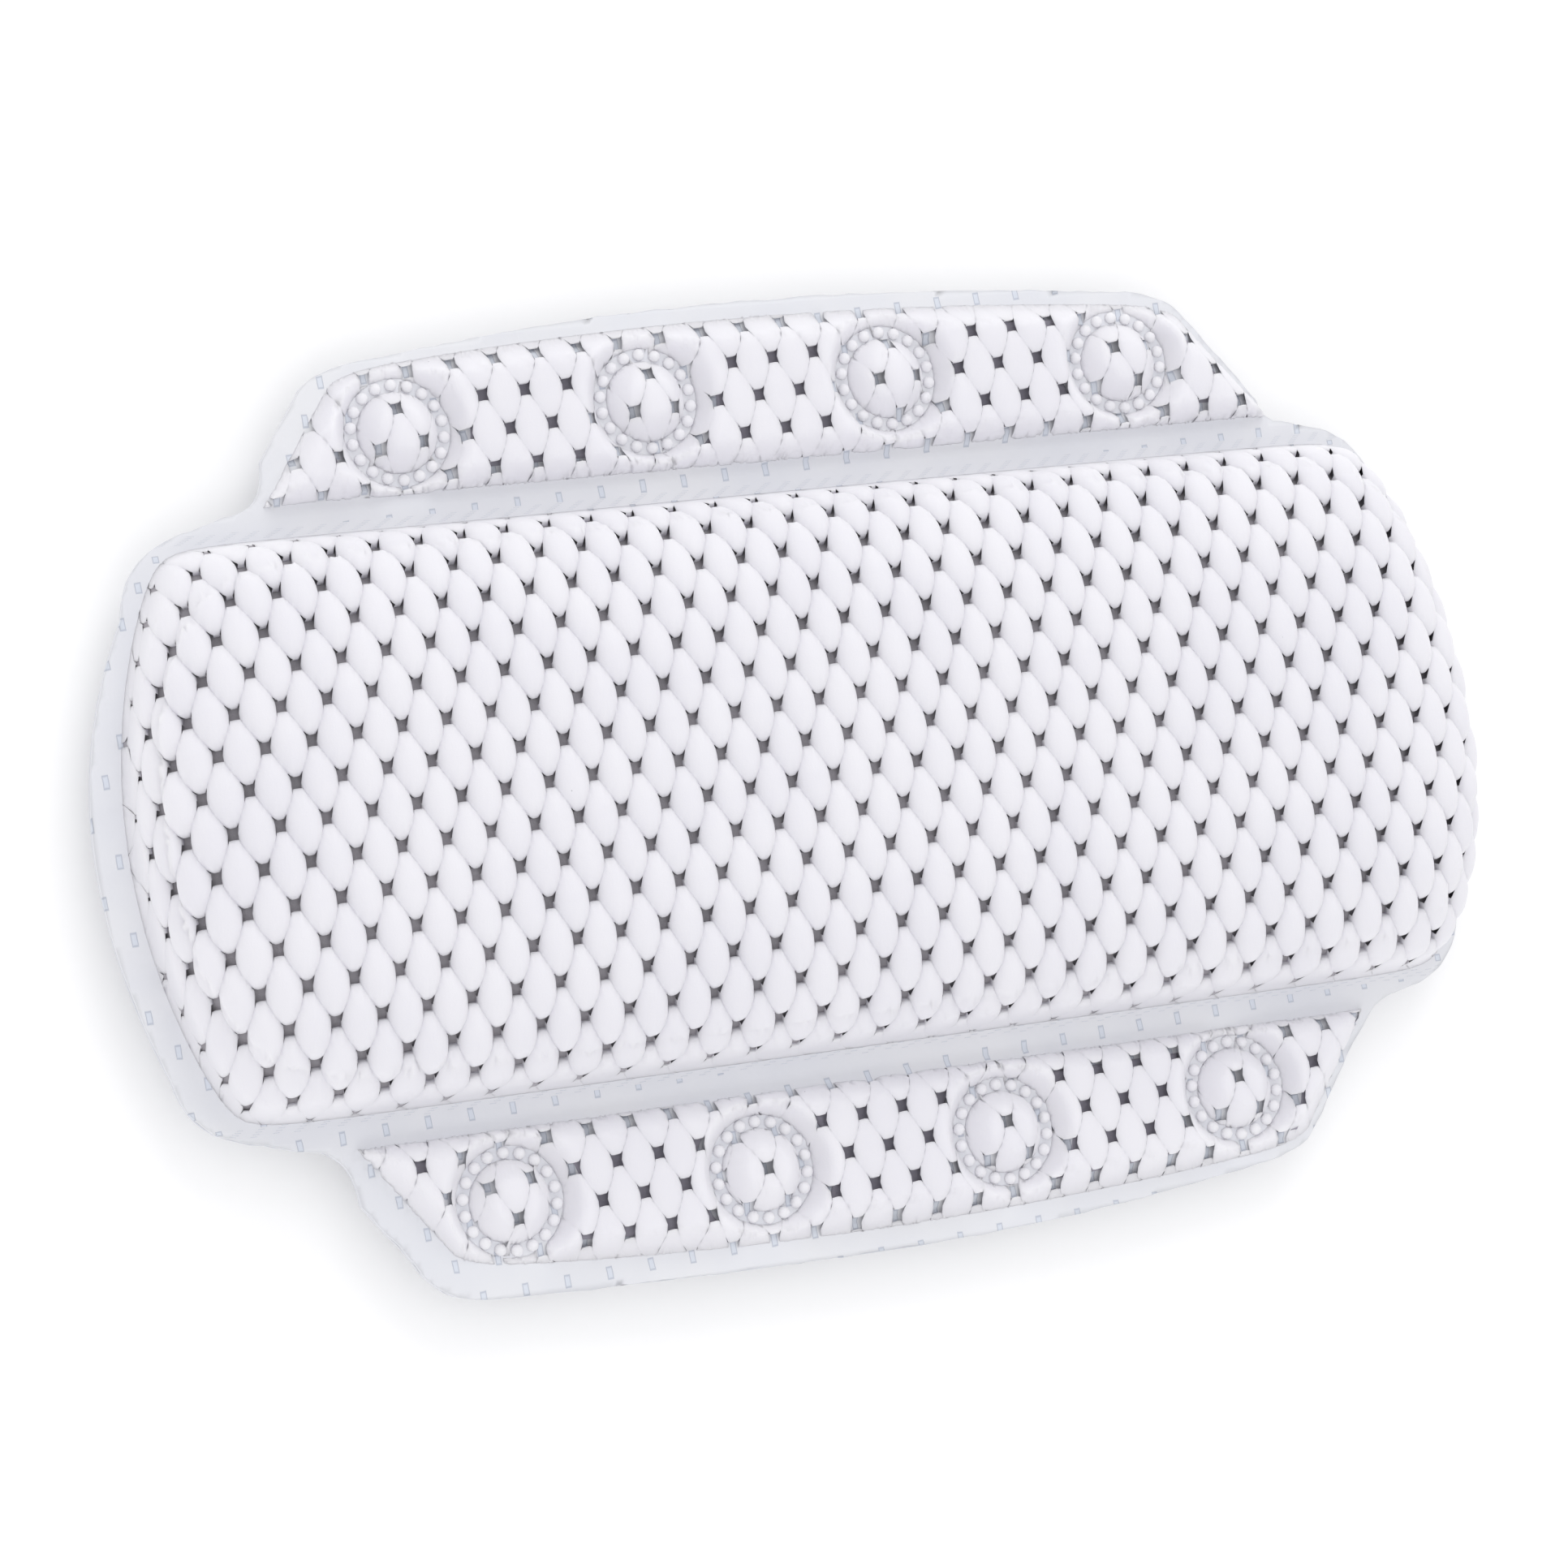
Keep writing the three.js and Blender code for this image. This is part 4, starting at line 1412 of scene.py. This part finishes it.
    def _wave(self, bm: bmesh.types.BMesh) -> None:
        """Gives the film its slight waves, and lifts it under the flaps' domes.

        Args:
            bm: The film.
        """
        flat = np.array([v.co[:2] for v in bm.verts])
        free = -self.plan.bolster.seam().measure(flat[:, 0], flat[:, 1])[0]
        for flap in Flap:
            free = np.minimum(free, -self.plan.flap_outline(flap).measure(flat[:, 0], flat[:, 1])[0])
        share = smooth_step(free, *self.free_span)
        rise = np.zeros(len(flat))
        for flap in Flap:
            below = self._flap_form(flap, flat[:, 0], flat[:, 1])[4]
            below = np.minimum(below, self.plan.pad_top - 0.3 * MM)
            rise = np.maximum(rise, below - self.plan.weld_top + self.film_sink)
        for vert, amount, up in zip(bm.verts, share, rise):
            wave = noise.noise(vert.co * self.wave_pace) * self.wave_size * MM * amount
            vert.co.z += wave - self.film_sink * (1 - amount) + up

    def _lay_lattice(self, bm: bmesh.types.BMesh) -> None:
        """Gives the film the lattice's places as its UV map.

        Args:
            bm: The film.
        """
        lengths, across = self.plan.bolster.unrolled()
        flat = np.array([v.co[:2] for v in bm.verts])
        x, y = flat[:, 0], flat[:, 1]
        half = self.plan.bolster.half_width
        run = np.interp(np.abs(y), across, lengths) + np.maximum(np.abs(y) - half, 0.0)
        i, j = self.bolster_lattice.indices(x, np.sign(y) * run)
        for flap in Flap:
            fi, fj = self.flap_lattice(flap).indices(x, y)
            over = y * flap.value > half
            i, j = np.where(over, fi, i), np.where(over, fj, j)
        layer = bm.loops.layers.uv.new("lattice")
        for face in bm.faces:
            for loop in face.loops:
                loop[layer].uv = (i[loop.vert.index] / 2, j[loop.vert.index] / 2)


@dataclass
class Fillings:
    """The grey foam inside the bolster and the flaps, seen through the drain holes."""

    plan: Plan
    bolster_inset: float = 0.5 * MM
    core_points: int = 120
    core_rings: tuple[float, ...] = (1.0, 0.985, 0.96, 0.93, 0.89, 0.83, 0.74, 0.6, 0.4, 0.2)
    pad_spacing: float = 1.6 * MM
    pad_merge: float = 0.05 * MM

    def build(self) -> list[bpy.types.Object]:
        """Builds the three fillings.

        Returns:
            The pieces.
        """
        core = foam_material("open_grey_foam", Palette.CORE.value)
        pad = foam_material("dense_grey_foam", Palette.PAD.value)
        return [self._core(core)] + [self._pad(flap, pad) for flap in Flap]

    def _core(self, foam: bpy.types.Material) -> bpy.types.Object:
        """The filling of the bolster.

        Args:
            foam: Material of the filling.

        Returns:
            The piece.
        """
        loaf = self.plan.bolster.shrunk(self.bolster_inset)
        count = self.core_points
        seam = loaf.seam(count).points
        bm = ringed_disc(count, self.core_rings)
        disc = np.array([v.co[:2] for v in bm.verts])
        place = np.rint(np.arctan2(disc[:, 1], disc[:, 0]) * count / math.tau).astype(int) % count
        flat = seam[place] * np.linalg.norm(disc, axis=1)[:, None]
        for vert, (x, y), z in zip(bm.verts, flat, loaf.height(flat[:, 0], flat[:, 1])):
            vert.co = (x, y, z)
        wall = bmesh.ops.extrude_edge_only(bm, edges=[e for e in bm.edges if e.is_boundary])
        for vert in new_verts(wall):
            vert.co.z = self.plan.back_top + FILLING_GAP
        piece = finished("filling_bolster", bm, foam, ["bolster_core"])
        return piece

    def _pad(self, flap: Flap, foam: bpy.types.Material) -> bpy.types.Object:
        """The filling of a flap, cut out round the welds.

        Args:
            flap: Which flap.
            foam: Material of the filling.

        Returns:
            The piece.
        """
        plan = self.plan
        bm, flat, out = outlined_grid(plan.flap_outline(flap, plan.pad_inset), self.pad_spacing)
        clear = plan.ring_outer + plan.ring_clearance
        for cx, cy in plan.ring_centres(flap):
            gap = flat - (cx, cy)
            radius = np.linalg.norm(gap, axis=1)
            held = radius < clear
            flat[held] = (cx, cy) + gap[held] * (clear / np.maximum(radius[held], 1e-6))[:, None]
            out |= held
        for vert, (x, y) in zip(bm.verts, flat):
            vert.co = (x, y, plan.pad_top)
        cut_outside(bm, out, self.pad_merge)
        made = bmesh.ops.extrude_edge_only(bm, edges=[e for e in bm.edges if e.is_boundary])
        for vert in new_verts(made):
            vert.co.z = plan.back_top + FILLING_GAP
        piece = finished(f"filling_{flap.label}_flap", bm, foam, [f"{flap.label}_flap_pad"])
        return piece


@dataclass
class BackSheet:
    """The flat foam sheet behind, cut to the same outline as the front one."""

    plan: Plan
    trim_pace: float = 240.0
    trim_size: float = 0.3
    edge_bevel: float = 0.2 * MM

    def build(self) -> bpy.types.Object:
        """Builds the sheet.

        Returns:
            The piece.
        """
        plan = self.plan
        points = plan.sheet_outline().points
        bm = bmesh.new()
        made = bmesh.ops.create_circle(bm, cap_ends=True, radius=1.0, segments=len(points))
        for vert, (x, y) in zip(made["verts"], points):
            rough = noise.noise(Vector((x, y, 0.1)) * self.trim_pace) * self.trim_size * MM
            vert.co = (x, y + rough, plan.back_top)
        lid = bm.faces[:][0]
        sheet = bmesh.ops.extrude_face_region(bm, geom=[lid])
        fall = (0.0, 0.0, plan.underside - plan.back_top)
        bmesh.ops.translate(bm, verts=new_verts(sheet), vec=fall)
        bmesh.ops.recalc_face_normals(bm, faces=bm.faces)
        rim = [e for e in bm.edges if abs(e.verts[0].co.z - e.verts[1].co.z) < 1e-6]
        bmesh.ops.bevel(
            bm, geom=rim, offset=self.edge_bevel, segments=2, affect="EDGES", profile=0.5, material=-1
        )
        foam = foam_material("back_foam", Palette.BACK.value)
        piece = finished("back_foam_sheet", bm, foam, ["back_sheet"])
        for polygon in piece.data.polygons:
            polygon.use_smooth = False
        low, high = points.min(axis=0), points.max(axis=0)
        x, y = points.T
        area = 0.5 * float(np.sum(x * np.roll(y, -1) - y * np.roll(x, -1)))
        float(high[0] - low[0])
        float(high[1] - low[1])
        return piece


@dataclass
class SuctionCups:
    """The eight clear cups, each held by its head between the sheets."""

    plan: Plan
    radius: float = 16 * MM
    drawn_radius: float = 16.0
    steps: int = 48

    def profile(self) -> list[tuple[float, float]]:
        """Half section from the middle of the hollow, round the rim, to the top of the head.

        Returns:
            Radii and heights, in metres.
        """
        r = self.radius
        hollow = [(0.0, 3.6), (4.0, 3.5), (8.0, 2.9), (11.5, 1.8), (14.0, 0.6), (14.8, 0.0)]
        rim = [(15.4, 0.0), (15.9, 0.1), (16.0, 0.4), (15.8, 0.8)]
        bell = [(14.0, 2.4), (11.8, 4.6), (9.4, 6.4), (7.4, 7.2), (6.5, 7.5)]
        neck = [(6.5, 8.6), (6.2, 8.7), (4.3, 8.7), (4.0, 9.0), (4.0, 10.1), (4.2, 10.3)]
        head = [(7.1, 10.3), (7.4, 10.6), (7.4, 11.6), (6.9, 12.2), (4.0, 12.3), (0.0, 12.3)]
        return [(x / self.drawn_radius * r, z * MM) for x, z in hollow + rim + bell + neck + head]

    def build(self) -> list[bpy.types.Object]:
        """Builds the cups.

        Returns:
            The pieces.
        """
        clear = cup_material("clear_soft_plastic")
        pieces = []
        for flap in Flap:
            for number, (cx, cy) in enumerate(self.plan.ring_centres(flap), 1):
                bm = bmesh.new()
                verts = [bm.verts.new((cx + x, cy, z)) for x, z in self.profile()]
                edges = [bm.edges.new(pair) for pair in zip(verts, verts[1:])]
                bmesh.ops.spin(
                    bm,
                    geom=verts + edges,
                    cent=(cx, cy, 0.0),
                    axis=(0.0, 0.0, 1.0),
                    angle=math.tau,
                    steps=self.steps,
                    use_merge=True,
                )
                bmesh.ops.remove_doubles(bm, verts=bm.verts, dist=0.01 * MM)
                bmesh.ops.recalc_face_normals(bm, faces=bm.faces)
                node = f"suction_cup_{flap.label}_{number}"
                pieces.append(finished(f"cup_{flap.label}_{number}", bm, clear, [node]))
        return pieces


@dataclass(frozen=True)
class Lamp:
    """A round soft lamp: its place in metres, its diameter and its power in watts."""

    name: str
    spot: tuple[float, float, float]
    size: float
    power: float


@dataclass
class Studio:
    """Camera at the photograph's angle, plain floor and soft light."""

    right: Vector = field(default_factory=lambda: Vector((0.92807, -0.15068, 0.34057)))
    up: Vector = field(default_factory=lambda: Vector((0.10805, 0.98410, 0.14096)))
    spot: Vector = field(default_factory=lambda: Vector((-0.3946, -0.1041, 1.0146)))
    lens: float = 112.8
    sensor: float = 36.0
    sky_colour: Colour = (0.985, 0.985, 1.0)
    sky_strength: float = 0.905
    lamps: tuple[Lamp, ...] = (
        Lamp("key", (0.35, 1.4, 1.0), 1.2, 6.0),
        Lamp("fill", (-0.4, -1.1, 1.2), 1.4, 3.0),
    )

    def build_camera(self) -> bpy.types.Object:
        """Makes the camera.

        Returns:
            The camera.
        """
        data = bpy.data.cameras.new("camera")
        data.lens, data.sensor_width = self.lens, self.sensor
        data.clip_start, data.clip_end = 0.05, 20.0
        camera = bpy.data.objects.new("camera", data)
        back = self.right.cross(self.up)
        turn = Matrix((self.right, self.up, back)).transposed().to_4x4()
        camera.matrix_world = Matrix.Translation(self.spot) @ turn
        bpy.context.scene.collection.objects.link(camera)
        bpy.context.scene.camera = camera
        return camera

    def build_stage(self) -> None:
        """Makes the floor, the world light and the lamps."""
        bm = bmesh.new()
        bmesh.ops.create_grid(bm, x_segments=1, y_segments=1, size=4.0)
        mesh = bpy.data.meshes.new("floor")
        bm.to_mesh(mesh)
        bm.free()
        mesh.materials.append(floor_material())
        floor = bpy.data.objects.new("floor", mesh)
        bpy.context.scene.collection.objects.link(floor)
        world = bpy.data.worlds.new("studio")
        world.use_nodes = True
        sky = world.node_tree.nodes["Background"].inputs
        sky["Color"].default_value = opaque(self.sky_colour)
        sky["Strength"].default_value = self.sky_strength
        bpy.context.scene.world = world
        for lamp in self.lamps:
            self._hang(lamp)
        bpy.context.scene.view_settings.view_transform = "Standard"

    @staticmethod
    def _hang(lamp: Lamp) -> None:
        """Makes a lamp that faces the pillow.

        Args:
            lamp: The lamp to make.
        """
        data = bpy.data.lights.new(lamp.name, "AREA")
        data.shape, data.size, data.energy = "DISK", lamp.size, lamp.power
        light = bpy.data.objects.new(lamp.name, data)
        light.location = lamp.spot
        light.rotation_mode = "QUATERNION"
        light.rotation_quaternion = (-Vector(lamp.spot)).to_track_quat("-Z", "Y")
        bpy.context.scene.collection.objects.link(light)


def main() -> None:
    """Builds the pillow piece by piece, then the studio."""
    logging.basicConfig(level=logging.INFO, format="%(message)s")
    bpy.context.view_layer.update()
    plan = Plan()
    studio = Studio()
    studio.build_camera()
    MeshCover(plan).build()
    Fillings(plan).build()
    BackSheet(plan).build()
    SuctionCups(plan).build()
    studio.build_stage()


if __name__ == "__main__":
    main()
